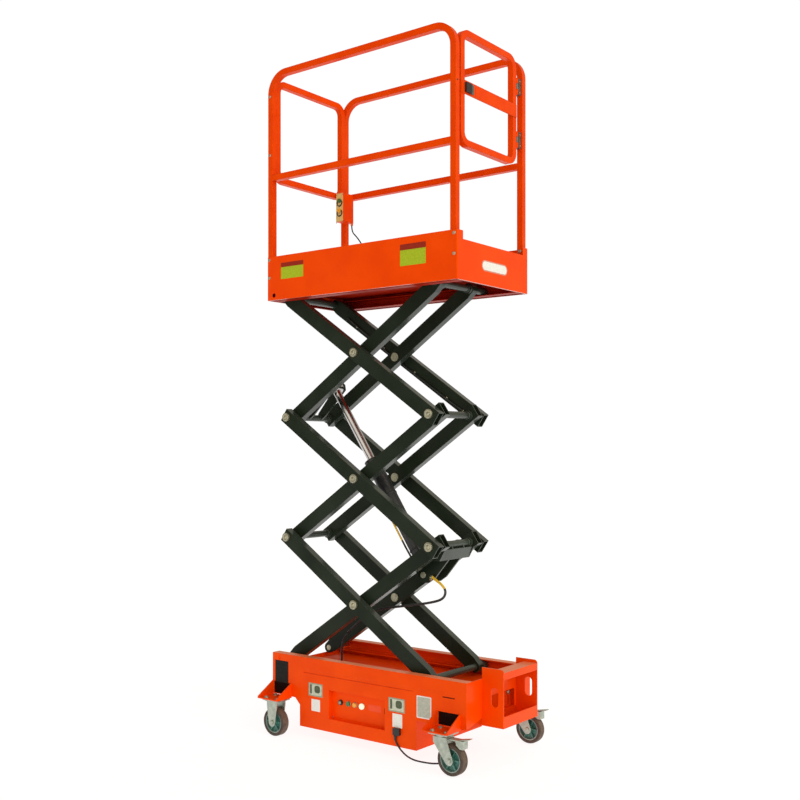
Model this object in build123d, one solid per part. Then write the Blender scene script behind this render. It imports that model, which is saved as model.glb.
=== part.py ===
from build123d import *
import math
import os

# Push-around three-stage scissor lift. Millimetres, +Z up. +X is the gate and
# step end, +Y the side away from the control panel. The origin is on the
# floor under the middle of the outline.

# Overall plan
BASE_LENGTH = 1188
BASE_WIDTH = 544
PLATFORM_LENGTH = 1170
PLATFORM_WIDTH = 600
PLATFORM_OVERHANG = 11
STEP_REACH = 114

X_LEFT = -(PLATFORM_OVERHANG + BASE_LENGTH + STEP_REACH) / 2
BASE_LEFT = X_LEFT + PLATFORM_OVERHANG
BASE_RIGHT = BASE_LEFT + BASE_LENGTH
STEP_RIGHT = BASE_RIGHT + STEP_REACH
PLATFORM_RIGHT = X_LEFT + PLATFORM_LENGTH
BASE_HALF = BASE_WIDTH / 2
PLATFORM_HALF = PLATFORM_WIDTH / 2

# Scissor arms: square tubes, open where they end at a joint in the air and
# drawn in to a rounded nose where they end inside a rail
ARM_LENGTH = 1090
ARM_ANGLE = 34.2
ARM_HEIGHT = 70
ARM_WIDTH = 40
ARM_WALL = 4
ARM_GAP = 12
LEFT_OVERHANG = 25
RIGHT_OVERHANG = 45
NOSE_RADIUS = 28
NOSE_START = 30
SCISSOR_HALF = 208
PIN_FROM_LEFT = 46.5
PIN_HEIGHT = 368
PIN_RADIUS = 14
PIN_HEAD_RADIUS = 22
PIN_HEAD = 10
PIN_COLLAR = 6
SLEEVE_RADIUS = 24
BORE_CLEARANCE = 0.5
CROSS_TUBE_RADIUS = 17
CROSS_COLLAR_RADIUS = 25
CROSS_COLLAR = 14
TIE_TUBE_RADIUS = 17
ROLLER_RADIUS = 24
ROLLER_WIDTH = 38
ROLLER_GAP = 6
DECK_ROLLER_RADIUS = 18
DECK_ROLLER_WIDTH = 34
DECK_ROLLER_GAP = 15

PIN_X = X_LEFT + PIN_FROM_LEFT
SPAN = ARM_LENGTH * math.cos(math.radians(ARM_ANGLE))
RISE = ARM_LENGTH * math.sin(math.radians(ARM_ANGLE))
NODE_X = PIN_X + SPAN
OUTER_OUT = SCISSOR_HALF
OUTER_IN = OUTER_OUT - ARM_WIDTH
INNER_OUT = OUTER_IN - ARM_GAP
INNER_IN = INNER_OUT - ARM_WIDTH

# Cylinder
CYLINDER_ALONG = 207
CYLINDER_OFFSET = 45
BARREL_RADIUS = 37
BARREL_BORE = 20.5
GLAND_RADIUS = 41
GLAND_LENGTH = 24
ROD_RADIUS = 20
BARREL_REACH = 655
ROD_INSERT = 675
CYLINDER_EYE = 30
CYLINDER_PIN = 15
EYE_HALF = 34
LUG_THICKNESS = 10
LUG_CLEARANCE = 8
LUG_RADIUS = 32
LUG_DEPTH = 92
LUG_FRONT = 160
LUG_BACK = 66
PORT_RADIUS = 9

# Base
SHEET = 4
RAIL_HEIGHT = 60
RAIL_WALL = 5
RAIL_FLANGE = 47
TRAY_DROP = 18
TRAY_THICKNESS = 5
WALL_BOTTOM = 190
BELLY_FROM_LEFT = 188
BELLY_FROM_RIGHT = 276
BELLY_CHAMFER = 32
BELLY_BOTTOM = 53
BELLY_LEFT = BASE_LEFT + BELLY_FROM_LEFT
BELLY_RIGHT = BASE_RIGHT - BELLY_FROM_RIGHT
RAIL_TOP_Z = PIN_HEIGHT + RAIL_HEIGHT / 2
RAIL_BOTTOM_Z = PIN_HEIGHT - RAIL_HEIGHT / 2
TRAY_FLOOR = RAIL_BOTTOM_Z - TRAY_DROP
ACCESS_RADIUS = 11
SEAM_HEIGHT = 3
SEAM_DROP = 17
SEAM_LEFT = -432
SEAM_RIGHT = 245
WINDOW_HEIGHT = 64
END_WINDOW_HALF = 128
END_WINDOW_BOTTOM = 226
END_WINDOW_DROP = 12
END_WINDOW_DEPTH = 22
UNIT_FROM_ENDS = 120
UNIT_FROM_SIDES = 96
UNIT_HEIGHT = 200

# Control recess in the near panel
RECESS_LEFT = -267
RECESS_RIGHT = 82
RECESS_BOTTOM = 116
RECESS_TOP = 257
RECESS_DEPTH = 30
RECESS_SHEET = 3
BUTTON_Z = 199
KEY_X = -214
START_X = -165
STOP_X = -124
LAMP_X = -80
BUTTON_RADIUS = 11
LAMP_RADIUS = 14
INLET_X = 158
INLET_Z = 124
INLET_WIDTH = 38
INLET_HEIGHT = 32
INLET_DEPTH = 14

# Step frame
STEP_HALF = 148
STEP_BOTTOM = 188
STEP_TOP = 450
STEP_SHEET = 5
STEP_TREAD = 70
STEP_TREAD_DROP = 14
STEP_LIP = 32
STEP_SHELF_LIP = 52
STEP_CORNER = 16
STEP_SLOT_LENGTH = 88
STEP_SLOT_WIDTH = 38
STEP_SLOT_X = 68
STEP_SLOT_Z = 322

# Casters
WHEEL_RADIUS = 70
WHEEL_WIDTH = 45
TREAD_ROUND = 7
RIM_RADIUS = 55
RIM_WALL = 6
WEB_HALF = 5
HUB_BOSS = 20
SPOKE_COUNT = 6
WHEEL_Y = 330
FIXED_X = -565
SWIVEL_X = 459
TRAIL = 50
AXLE_RADIUS = 6
AXLE_NUT = 11
BRACKET_OUT = 380
BRACKET_LEFT_X = BASE_LEFT
BRACKET_RIGHT_X = 380
BRACKET_LENGTH = 132
BRACKET_THICKNESS = 6
BRACKET_Z = 184
GUSSET_TOP = 258
CASTER_PLATE = 6
CASTER_PLATE_HALF = 52
RACE_RADIUS = 34
RACE_HEIGHT = 9
FORK_GAP = 4
FORK_SHEET = 5
FORK_CROWN = 34
FORK_EYE = 21
PEDAL_WIDTH = 38
PEDAL_REACH = 112
PEDAL_SHEET = 4
SHOE_START = 46
SHOE_END = 84
SHOE_DEPTH = 42

# Platform
SKIRT_SHEET = 3
SKIRT_HEIGHT = 220
SKIRT_ROUND = 6
SKIRT_LIP = 14
END_SKIRT_HEIGHT = 182
TAB_WIDTH = 45
PIN_ABOVE_SKIRT = 24
DECK_UNDER = 64
DECK_THICKNESS = 6
DECK_RAIL_HEIGHT = 46
DECK_RAIL_WALL = 4
DECK_RAIL_FLANGE = 46
DECK_RAIL_HALF = 268
TUBE = 30
TUBE_WALL = 2
GUARD_RAIL_TOP = 1157
MID_RAIL = 620
BEND_RADIUS = 100
POST_INSET = 11
GUARD_TOP = 1128
GUARD_BOTTOM = 605
GUARD_BEND = 48
GATE_LEFT = -256
GATE_RIGHT = 213
GATE_PLATE_BOTTOM = 835
GATE_PLATE_TOP = 896
GATE_PLATE = 4
HINGE_Y = 240
HINGE_RADIUS = 8
HINGE_HEIGHT = 78
LOWER_HINGE = 700
UPPER_HINGE = 957
BOX_WIDTH = 56
BOX_DEPTH = 86
BOX_HEIGHT = 152
BOX_ABOVE_SKIRT = 475
BOX_GAP = 6
BOX_GLAND = 7
UP_BUTTON = 112
DOWN_BUTTON = 58

POST_FACE = PLATFORM_HALF - SKIRT_SHEET - TUBE
PLATFORM_PIN_Z = PIN_HEIGHT + 3 * RISE
SKIRT_BOTTOM = PLATFORM_PIN_Z - PIN_ABOVE_SKIRT
DECK_TOP = SKIRT_BOTTOM + DECK_UNDER + DECK_THICKNESS
POST_LEFT_X = X_LEFT + SKIRT_SHEET + TUBE / 2
POST_RIGHT_X = PLATFORM_RIGHT - POST_INSET - TUBE / 2

# Cords, each as the points its route passes
CORD_RADIUS = 4
COIL_RADIUS = 44
COIL_HALF_WIDTH = 12
COIL_HEIGHT = 16
COIL_LEAD = 40
PLUG_HEIGHT = 24
PLUG_WIDTH = 36
PLUG_LENGTH = 44
BOX_CORD_RADIUS = 3.5
TRAY_HOSE_RADIUS = 5
GLAND_HEIGHT = 14

INLET_BOTTOM = INLET_Z - INLET_HEIGHT / 2
CORD_Y = -BASE_HALF - INLET_DEPTH / 2
CORD_X = INLET_X - 8
MAINS_ROUTE = [
    (CORD_X, CORD_Y, INLET_BOTTOM),
    (CORD_X, CORD_Y, INLET_BOTTOM - 28),
    (CORD_X + 22, CORD_Y + 3, INLET_BOTTOM - 59),
    (CORD_X + 55, CORD_Y + 9, INLET_BOTTOM - 88),
    (CORD_X + 96, CORD_Y + 15, INLET_BOTTOM - 103),
    (CORD_X + 150, CORD_Y + 18, CORD_RADIUS),
    (CORD_X + 200, CORD_Y + 28, CORD_RADIUS),
    (CORD_X + 238, CORD_Y + 74, CORD_RADIUS),
    (CORD_X + 242, CORD_Y + 134, CORD_RADIUS),
    (CORD_X + 222, CORD_Y + 194, CORD_RADIUS),
    (CORD_X + 170, CORD_Y + 244, CORD_RADIUS),
    (CORD_X + 108, CORD_Y + 283, CORD_RADIUS),
    (CORD_X + 48, CORD_Y + 309, CORD_RADIUS),
    (CORD_X - 4, CORD_Y + 349, CORD_RADIUS),
]
BOX_LEFT = POST_LEFT_X + TUBE / 2 + BOX_GAP
BOX_CORD_X = BOX_LEFT + BOX_WIDTH - BOX_GLAND
BOX_CORD_Y = POST_FACE - 9
BOX_CORD_TOP = SKIRT_BOTTOM + BOX_ABOVE_SKIRT - 12
BOX_CORD_REACH = 122.5
BOX_CORD_LEAN = -4
BOX_CORD_DROP = DECK_TOP + GLAND_HEIGHT - BOX_CORD_TOP
BOX_CORD_SHARES = [
    (0, 0, 0), (0, 0, 0.09), (0.30, 0.25, 0.175), (0.59, 0.5, 0.29),
    (0.835, 0.75, 0.43), (0.95, 0.75, 0.61), (1, 1, 0.795), (1, 1, 1),
]
BOX_CORD_ROUTE = [
    (BOX_CORD_X + BOX_CORD_REACH * x, BOX_CORD_Y + BOX_CORD_LEAN * y, BOX_CORD_TOP + BOX_CORD_DROP * z)
    for x, y, z in BOX_CORD_SHARES
]
HOSE_X = PIN_X + 276
HOSE_Y = -INNER_IN + 20
TRAY_HOSE_ROUTE = [
    (HOSE_X, HOSE_Y, TRAY_FLOOR + GLAND_HEIGHT),
    (HOSE_X, HOSE_Y, TRAY_FLOOR + 64),
    (HOSE_X + 2, HOSE_Y - 1, TRAY_FLOOR + 114),
    (HOSE_X + 12, HOSE_Y - 2, TRAY_FLOOR + 156),
    (HOSE_X + 38, HOSE_Y - 3, TRAY_FLOOR + 186),
]


def block(x0, x1, y0, y1, z0, z1):
    centre = Pos((x0 + x1) / 2, (y0 + y1) / 2, (z0 + z1) / 2)
    return centre * Box(x1 - x0, y1 - y0, z1 - z0)


def round_x(y, z, x0, x1, radius):
    return Pos((x0 + x1) / 2, y, z) * Rot(0, 90, 0) * Cylinder(radius, x1 - x0)


def round_y(x, z, y0, y1, radius):
    return Pos(x, (y0 + y1) / 2, z) * Rot(90, 0, 0) * Cylinder(radius, y1 - y0)


def round_z(x, y, z0, z1, radius):
    return Pos(x, y, (z0 + z1) / 2) * Cylinder(radius, z1 - z0)


def mirrored(shape):
    return [shape, mirror(shape, about=Plane.XZ)]


def fuse(first, others):
    for other in others:
        first = first + other
    return first


def plate_xz(points, y0, y1):
    outline = make_face(Polyline(*points, close=True))
    return Pos(0, y1, 0) * extrude(Plane.XZ * outline, y1 - y0)


def keep(name, shapes):
    if not isinstance(shapes, (list, tuple)):
        shapes = [shapes]
    solids = [solid for shape in shapes for solid in shape.solids()]
    body = solids[0] if len(solids) == 1 else Compound(children=solids)
    export_step(body, os.path.join("parts", name + ".step"))


def cord_tube(name, route, radius):
    radii = []
    for before, corner, after in zip(route, route[1:], route[2:]):
        first = Vector(*corner) - Vector(*before)
        second = Vector(*after) - Vector(*corner)
        half_turn = math.radians(first.get_angle(second)) / 2
        radii.append(0.45 * min(first.length, second.length) / math.tan(half_turn))
    path = FilletPolyline(*route, radius=radii)
    tube = sweep(Plane(origin=path @ 0, z_dir=path % 0) * Circle(radius), path)
    expected = math.pi * radius ** 2 * path.length
    print(name, "length", round(path.length), "radii", [round(value) for value in radii])
    print(name, "volume over expected", round(tube.volume / expected, 4))
    keep(name, tube)


# Scissor arms are drawn lying along X with their first pin at the origin.

def nose(x_pin, x_tube, y0, y1):
    half = ARM_HEIGHT / 2
    wedge = plate_xz([(x_pin, -NOSE_RADIUS), (x_tube, -half), (x_tube, half), (x_pin, NOSE_RADIUS)], y0, y1)
    return wedge + round_y(x_pin, 0, y0, y1, NOSE_RADIUS)


def arm(nose_start, nose_end, y0, y1):
    x0 = NOSE_START if nose_start else -LEFT_OVERHANG
    x1 = ARM_LENGTH - NOSE_START if nose_end else ARM_LENGTH + RIGHT_OVERHANG
    half = ARM_HEIGHT / 2
    tube = block(x0, x1, y0, y1, -half, half)
    tube = tube - block(x0 - 1, x1 + 1, y0 + ARM_WALL, y1 - ARM_WALL, ARM_WALL - half, half - ARM_WALL)
    if nose_start:
        tube = tube + nose(0, x0, y0, y1)
    if nose_end:
        tube = tube + mirror(nose(0, NOSE_START, y0, y1), about=Plane.YZ).moved(Pos(ARM_LENGTH, 0, 0))
    for x in (0, ARM_LENGTH / 2, ARM_LENGTH):
        tube = tube + round_y(x, 0, y0, y1, SLEEVE_RADIUS)
        tube = tube - round_y(x, 0, y0 - 1, y1 + 1, PIN_RADIUS + BORE_CLEARANCE)
    return tube


def rising(shape, stage):
    return Pos(PIN_X, 0, PIN_HEIGHT + (stage - 1) * RISE) * Rot(0, -ARM_ANGLE, 0) * shape


def falling(shape, stage):
    return Pos(PIN_X, 0, PIN_HEIGHT + stage * RISE) * Rot(0, ARM_ANGLE, 0) * shape


def outer_pair(name, stage, nose_start, nose_end):
    pair = mirrored(arm(nose_start, nose_end, -OUTER_OUT, -OUTER_IN))
    keep(name, [falling(one, stage) for one in pair])


def inner_pair(name, stage, nose_start, nose_end):
    pair = mirrored(arm(nose_start, nose_end, -INNER_OUT, -INNER_IN))
    keep(name, [rising(one, stage) for one in pair])


def cross_tube(x, half_length=INNER_IN):
    tube = round_y(x, 0, -half_length, half_length, CROSS_TUBE_RADIUS)
    collar = round_y(x, 0, -half_length, -half_length + CROSS_COLLAR, CROSS_COLLAR_RADIUS)
    return fuse(tube, mirrored(collar))


def lug_bore(x, z):
    return round_y(x, z, -INNER_IN, INNER_IN, CYLINDER_PIN + BORE_CLEARANCE)


def lug_y():
    inside = EYE_HALF + LUG_CLEARANCE
    return -inside - LUG_THICKNESS, -inside


def lower_lugs():
    x_pin, z_pin = ARM_LENGTH - CYLINDER_ALONG, -CYLINDER_OFFSET
    outline = [
        (ARM_LENGTH - 10, 26), (ARM_LENGTH + 14, 12), (ARM_LENGTH + 8, -30), (ARM_LENGTH - 42, -60),
        (ARM_LENGTH - LUG_FRONT, -LUG_DEPTH), (x_pin + 4, -LUG_DEPTH), (x_pin - 32, -LUG_BACK), (x_pin - 32, -22), (x_pin + 10, 4),
    ]
    near, far = lug_y()
    frame = fuse(cross_tube(ARM_LENGTH), mirrored(plate_xz(outline, near, far)))
    web = plate_xz([
        (ARM_LENGTH + 8, -30), (ARM_LENGTH - 42, -60), (ARM_LENGTH - 45, -55), (ARM_LENGTH + 5, -25),
    ], -INNER_IN, INNER_IN)
    side = plate_xz([
        (ARM_LENGTH + 8, -36), (ARM_LENGTH - 42, -60), (ARM_LENGTH - 80, -36),
    ], -INNER_IN - 8, -INNER_IN)
    return fuse(frame + web, mirrored(side)) - lug_bore(x_pin, z_pin)


def upper_lugs():
    x_pin, z_pin = CYLINDER_ALONG, CYLINDER_OFFSET
    outline = [
        (-8, -14), (-14, 10), (10, 26), (x_pin - 24, z_pin + 26), (x_pin, z_pin + 34),
        (x_pin + 24, z_pin + 24), (x_pin + 32, z_pin), (x_pin + 20, z_pin - 26), (40, -14),
    ]
    near, far = lug_y()
    return fuse(cross_tube(0), mirrored(plate_xz(outline, near, far))) - lug_bore(x_pin, z_pin)


def make_arms():
    inner_pair("inner_arms_1", 1, True, False)
    outer_pair("outer_arms_1", 1, False, True)
    outer_pair("outer_arms_2", 2, False, False)
    inner_pair("inner_arms_2", 2, False, False)
    inner_pair("inner_arms_3", 3, False, True)
    outer_pair("outer_arms_3", 3, True, False)
    keep("lower_lugs", rising(lower_lugs(), 1))
    keep("middle_tubes", [rising(cross_tube(0), 2), rising(cross_tube(ARM_LENGTH), 2)])
    keep("upper_lugs", [rising(upper_lugs(), 3), rising(cross_tube(ARM_LENGTH), 3)])
    keep("upper_tie_tube", round_y(PIN_X, PLATFORM_PIN_Z, -OUTER_IN, OUTER_IN, TIE_TUBE_RADIUS))


def pin_pair(x, z):
    shank = round_y(x, z, -OUTER_OUT - PIN_HEAD, -INNER_IN, PIN_RADIUS)
    head = round_y(x, z, -OUTER_OUT - PIN_HEAD, -OUTER_OUT, PIN_HEAD_RADIUS)
    return mirrored(shank + head)


def centre_pins(x, z):
    shank = round_y(x, z, -OUTER_OUT - PIN_HEAD, -INNER_IN + PIN_COLLAR, PIN_RADIUS)
    head = round_y(x, z, -OUTER_OUT - PIN_HEAD, -OUTER_OUT, PIN_HEAD_RADIUS)
    collar = round_y(x, z, -INNER_IN, -INNER_IN + PIN_COLLAR, PIN_HEAD_RADIUS)
    return mirrored(shank + head + collar)


def make_pins():
    middle = PIN_X + SPAN / 2
    level = [PIN_HEIGHT + step * RISE / 2 for step in range(7)]
    keep("pins_stage_1", centre_pins(middle, level[1]) + pin_pair(NODE_X, level[2]))
    keep("pins_stage_2", centre_pins(middle, level[3]) + pin_pair(PIN_X, level[4]))
    keep("pins_links", pin_pair(PIN_X, level[2]) + pin_pair(NODE_X, level[4]))
    keep("pins_stage_3", centre_pins(middle, level[5]))


def roller(x, z, start, width, radius, axle_from):
    wheel = round_y(x, z, -start - width, -start, radius)
    return wheel + round_y(x, z, -start, -axle_from, PIN_RADIUS)


def make_rollers():
    start = OUTER_OUT + ROLLER_GAP
    tie = round_y(NODE_X, PIN_HEIGHT, -OUTER_IN, OUTER_IN, TIE_TUBE_RADIUS)
    keep("base_rollers", fuse(tie, mirrored(roller(NODE_X, PIN_HEIGHT, start, ROLLER_WIDTH, ROLLER_RADIUS, OUTER_IN))))
    start = OUTER_OUT + DECK_ROLLER_GAP
    one = roller(NODE_X, PLATFORM_PIN_Z, start, DECK_ROLLER_WIDTH, DECK_ROLLER_RADIUS, INNER_IN)
    spacer = round_y(NODE_X, PLATFORM_PIN_Z, -start, -INNER_OUT, DECK_ROLLER_RADIUS - 1)
    keep("platform_rollers", mirrored(one + spacer))


# Cylinder, drawn along X from its lower eye, then turned into place.

def lower_eye():
    angle = math.radians(ARM_ANGLE)
    along = ARM_LENGTH - CYLINDER_ALONG
    x = PIN_X + along * math.cos(angle) + CYLINDER_OFFSET * math.sin(angle)
    z = PIN_HEIGHT + along * math.sin(angle) - CYLINDER_OFFSET * math.cos(angle)
    return x, z


def upper_eye():
    angle = math.radians(ARM_ANGLE)
    x = PIN_X + CYLINDER_ALONG * math.cos(angle) - CYLINDER_OFFSET * math.sin(angle)
    z = PIN_HEIGHT + 2 * RISE + CYLINDER_ALONG * math.sin(angle) + CYLINDER_OFFSET * math.cos(angle)
    return x, z


def make_barrel():
    floor = CYLINDER_EYE + 5
    barrel = round_x(0, 0, floor, BARREL_REACH, BARREL_RADIUS)
    barrel = barrel + round_x(0, 0, BARREL_REACH - GLAND_LENGTH, BARREL_REACH, GLAND_RADIUS)
    barrel = barrel + block(0, floor + 1, -EYE_HALF, EYE_HALF, -CYLINDER_EYE, CYLINDER_EYE)
    barrel = barrel + round_y(0, 0, -EYE_HALF, EYE_HALF, CYLINDER_EYE)
    barrel = barrel - round_y(0, 0, -EYE_HALF - 1, EYE_HALF + 1, CYLINDER_PIN + BORE_CLEARANCE)
    barrel = barrel + round_z(floor + 30, 0, -BARREL_RADIUS - 14, -BARREL_RADIUS + 8, PORT_RADIUS)
    return barrel - round_x(0, 0, floor + 8, BARREL_REACH + 1, BARREL_BORE)


def make_cylinder():
    x0, z0 = lower_eye()
    x1, z1 = upper_eye()
    length = math.hypot(x1 - x0, z1 - z0)
    tilt = math.degrees(math.atan2(z1 - z0, x1 - x0))
    place = Pos(x0, 0, z0) * Rot(0, -tilt, 0)
    keep("cylinder_barrel", place * make_barrel())
    rod = round_x(0, 0, length - ROD_INSERT, length, ROD_RADIUS)
    keep("cylinder_rod", place * (rod + round_y(length, 0, -EYE_HALF, EYE_HALF, CYLINDER_EYE)))
    reach = EYE_HALF + LUG_CLEARANCE + LUG_THICKNESS + 6
    keep("cylinder_pin", round_y(x0, z0, -reach, reach, CYLINDER_PIN))


# Base

def side_rail():
    outer, inner = -BASE_HALF, -BASE_HALF + RAIL_FLANGE
    channel = block(BASE_LEFT, BASE_RIGHT, outer, inner, RAIL_BOTTOM_Z, RAIL_TOP_Z)
    hollow = block(
        BASE_LEFT - 1, BASE_RIGHT + 1,
        outer + RAIL_WALL, inner + 1,
        RAIL_BOTTOM_Z + RAIL_WALL, RAIL_TOP_Z - RAIL_WALL,
    )
    access = round_y(PIN_X + 12, PIN_HEIGHT + 8, outer - 1, outer + RAIL_WALL - 1, ACCESS_RADIUS)
    return channel - hollow - access


def make_base_frame():
    inside = BASE_HALF - SHEET
    frame = block(BASE_LEFT, BASE_RIGHT, -inside, inside, TRAY_FLOOR - TRAY_THICKNESS, TRAY_FLOOR)
    frame = fuse(frame, mirrored(side_rail()))
    strip = block(BASE_LEFT, BASE_RIGHT, -inside, -inside + RAIL_WALL, TRAY_FLOOR, RAIL_BOTTOM_Z)
    frame = fuse(frame, mirrored(strip))
    for x in (BASE_LEFT, BASE_RIGHT - SHEET):
        frame = frame + block(x, x + SHEET, -inside, inside, WALL_BOTTOM, RAIL_BOTTOM_Z)
    half, low, high = END_WINDOW_HALF, END_WINDOW_BOTTOM, TRAY_FLOOR - END_WINDOW_DROP
    back = BASE_RIGHT - SHEET - END_WINDOW_DEPTH
    pocket = block(back, BASE_RIGHT - 1, -half - SHEET, half + SHEET, low - SHEET, high + SHEET)
    frame = frame + pocket - block(back + SHEET, BASE_RIGHT + 1, -half, half, low, high)
    x, y, z = TRAY_HOSE_ROUTE[0]
    gland = round_z(x, y, TRAY_FLOOR - 1, z, 11)
    pin = round_y(PIN_X, PIN_HEIGHT, -BASE_HALF + RAIL_WALL - 1, -INNER_IN, PIN_RADIUS)
    keep("base_frame", fuse(frame + gland, mirrored(pin)))


def side_panel():
    outline = [
        (BASE_LEFT, RAIL_BOTTOM_Z), (BASE_LEFT, WALL_BOTTOM),
        (BELLY_LEFT - BELLY_CHAMFER, WALL_BOTTOM), (BELLY_LEFT, WALL_BOTTOM - BELLY_CHAMFER),
        (BELLY_LEFT, BELLY_BOTTOM), (BELLY_RIGHT, BELLY_BOTTOM),
        (BELLY_RIGHT, WALL_BOTTOM), (BASE_RIGHT, WALL_BOTTOM),
        (BASE_RIGHT, RAIL_BOTTOM_Z),
    ]
    near, far = -BASE_HALF - 1, -BASE_HALF + SHEET + 1
    seam_z = RAIL_BOTTOM_Z - SEAM_DROP
    panel = plate_xz(outline, -BASE_HALF, -BASE_HALF + SHEET)
    panel = panel - block(SEAM_LEFT, SEAM_RIGHT, near, far, seam_z, seam_z + SEAM_HEIGHT)
    for x in (BRACKET_LEFT_X, BRACKET_RIGHT_X):
        x0, x1 = x + BRACKET_THICKNESS + 3, x + BRACKET_LENGTH - BRACKET_THICKNESS - 3
        panel = panel - block(x0, x1, near, far, WALL_BOTTOM - 1, WALL_BOTTOM + WINDOW_HEIGHT)
    return panel


def make_panels():
    panel = side_panel()
    opening = block(
        RECESS_LEFT, RECESS_RIGHT,
        -BASE_HALF - 1, -BASE_HALF + SHEET + 1,
        RECESS_BOTTOM, RECESS_TOP,
    )
    keep("side_panel_near", panel - opening)
    keep("side_panel_far", mirror(panel, about=Plane.XZ))

    inside = BASE_HALF - SHEET
    tub = block(BELLY_LEFT, BELLY_RIGHT, -inside, inside, BELLY_BOTTOM, BELLY_BOTTOM + SHEET)
    for x in (BELLY_LEFT, BELLY_RIGHT - SHEET):
        tub = tub + block(x, x + SHEET, -inside, inside, BELLY_BOTTOM, TRAY_FLOOR - TRAY_THICKNESS)
    for x0, x1 in ((BASE_LEFT + SHEET, BELLY_LEFT), (BELLY_RIGHT, BASE_RIGHT - SHEET)):
        tub = tub + block(x0, x1, -inside, inside, WALL_BOTTOM, WALL_BOTTOM + SHEET)
    keep("belly_tub", tub)
    bottom = BELLY_BOTTOM + SHEET
    keep("power_unit", block(
        BELLY_LEFT + UNIT_FROM_ENDS, BELLY_RIGHT - UNIT_FROM_ENDS,
        -BASE_HALF + UNIT_FROM_SIDES, BASE_HALF - UNIT_FROM_SIDES,
        bottom, bottom + UNIT_HEIGHT,
    ))


def make_controls():
    front = -BASE_HALF + SHEET
    back = front + RECESS_DEPTH - RECESS_SHEET
    recess = block(
        RECESS_LEFT - RECESS_SHEET, RECESS_RIGHT + RECESS_SHEET,
        front, front + RECESS_DEPTH,
        RECESS_BOTTOM - RECESS_SHEET, RECESS_TOP + RECESS_SHEET,
    )
    hollow = block(RECESS_LEFT, RECESS_RIGHT, front - 1, back, RECESS_BOTTOM, RECESS_TOP)
    keep("control_recess", recess - hollow)
    key = round_y(KEY_X, BUTTON_Z, back - 10, back, BUTTON_RADIUS)
    key = key - block(KEY_X - 1.5, KEY_X + 1.5, back - 11, back - 4, BUTTON_Z - 7, BUTTON_Z + 7)
    start = round_y(START_X, BUTTON_Z, back - 9, back, BUTTON_RADIUS)
    stop = round_y(STOP_X, BUTTON_Z, back - 9, back, BUTTON_RADIUS)
    lens = round_y(LAMP_X, BUTTON_Z, back - 12, back, LAMP_RADIUS)
    lens = chamfer(lens.faces().sort_by(Axis.Y)[0].edges(), 3)
    keep("panel_controls", [key, start, stop, lens])
    half, rise = INLET_WIDTH / 2, INLET_HEIGHT / 2
    body = block(
        INLET_X - half, INLET_X + half,
        -BASE_HALF - INLET_DEPTH, -BASE_HALF,
        INLET_Z - rise, INLET_Z + rise,
    )
    keep("power_inlet", fillet(body.edges().filter_by(Axis.Y), 3))


def make_step():
    frame = None
    for y in (-STEP_HALF, STEP_HALF - STEP_SHEET):
        side = block(BASE_RIGHT, STEP_RIGHT, y, y + STEP_SHEET, STEP_BOTTOM, STEP_TOP)
        corner = side.edges().filter_by(Axis.Y).sort_by(lambda edge: edge.center().X + edge.center().Z)[-1]
        side = fillet(corner, STEP_CORNER)
        slot = extrude(SlotOverall(STEP_SLOT_LENGTH, STEP_SLOT_WIDTH), 10, both=True)
        slot = Pos(BASE_RIGHT + STEP_SLOT_X, y + STEP_SHEET / 2, STEP_SLOT_Z) * Rot(90, 0, 0) * Rot(0, 0, 90) * slot
        side = side - slot
        frame = side if frame is None else frame + side
    inside = STEP_HALF - STEP_SHEET
    tread = STEP_TOP - STEP_TREAD_DROP
    top = block(STEP_RIGHT - STEP_TREAD, STEP_RIGHT, -inside, inside, tread - STEP_SHEET, tread)
    front = block(STEP_RIGHT - STEP_SHEET, STEP_RIGHT, -inside, inside, tread - STEP_LIP, tread)
    back = block(
        STEP_RIGHT - STEP_TREAD, STEP_RIGHT - STEP_TREAD + STEP_SHEET,
        -inside, inside,
        tread - STEP_LIP, tread,
    )
    shelf = block(BASE_RIGHT, STEP_RIGHT, -inside, inside, STEP_BOTTOM, STEP_BOTTOM + STEP_SHEET)
    lip = block(STEP_RIGHT - STEP_SHEET, STEP_RIGHT, -inside, inside, STEP_BOTTOM, STEP_BOTTOM + STEP_SHELF_LIP)
    keep("step_frame", fuse(frame, [top, front, back, shelf, lip]))


# Casters

def bracket(x0):
    x1 = x0 + BRACKET_LENGTH
    top = BRACKET_Z + BRACKET_THICKNESS
    shape = block(x0, x1, -BRACKET_OUT, -BASE_HALF, BRACKET_Z, top)
    for x in (x0, x1 - BRACKET_THICKNESS):
        gusset = make_face(Polyline(
            (-BRACKET_OUT, BRACKET_Z), (-BASE_HALF, BRACKET_Z),
            (-BASE_HALF, GUSSET_TOP), (-BRACKET_OUT, top + 4),
            close=True,
        ))
        shape = shape + Pos(x, 0, 0) * extrude(Plane.YZ * gusset, BRACKET_THICKNESS)
    return shape


def caster_plate(x):
    half = CASTER_PLATE_HALF
    return block(x - half, x + half, -WHEEL_Y - 44, -WHEEL_Y + 44, BRACKET_Z - CASTER_PLATE, BRACKET_Z)


def fork_leg(x_top, x_axle, z_top):
    leg = make_hull([
        (Pos(x_axle, WHEEL_RADIUS) * Circle(FORK_EYE)).edge(),
        *(Pos(x_top, z_top - 12) * Rectangle(2 * FORK_CROWN, 24)).edges(),
    ])
    return Plane.XZ * leg


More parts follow.
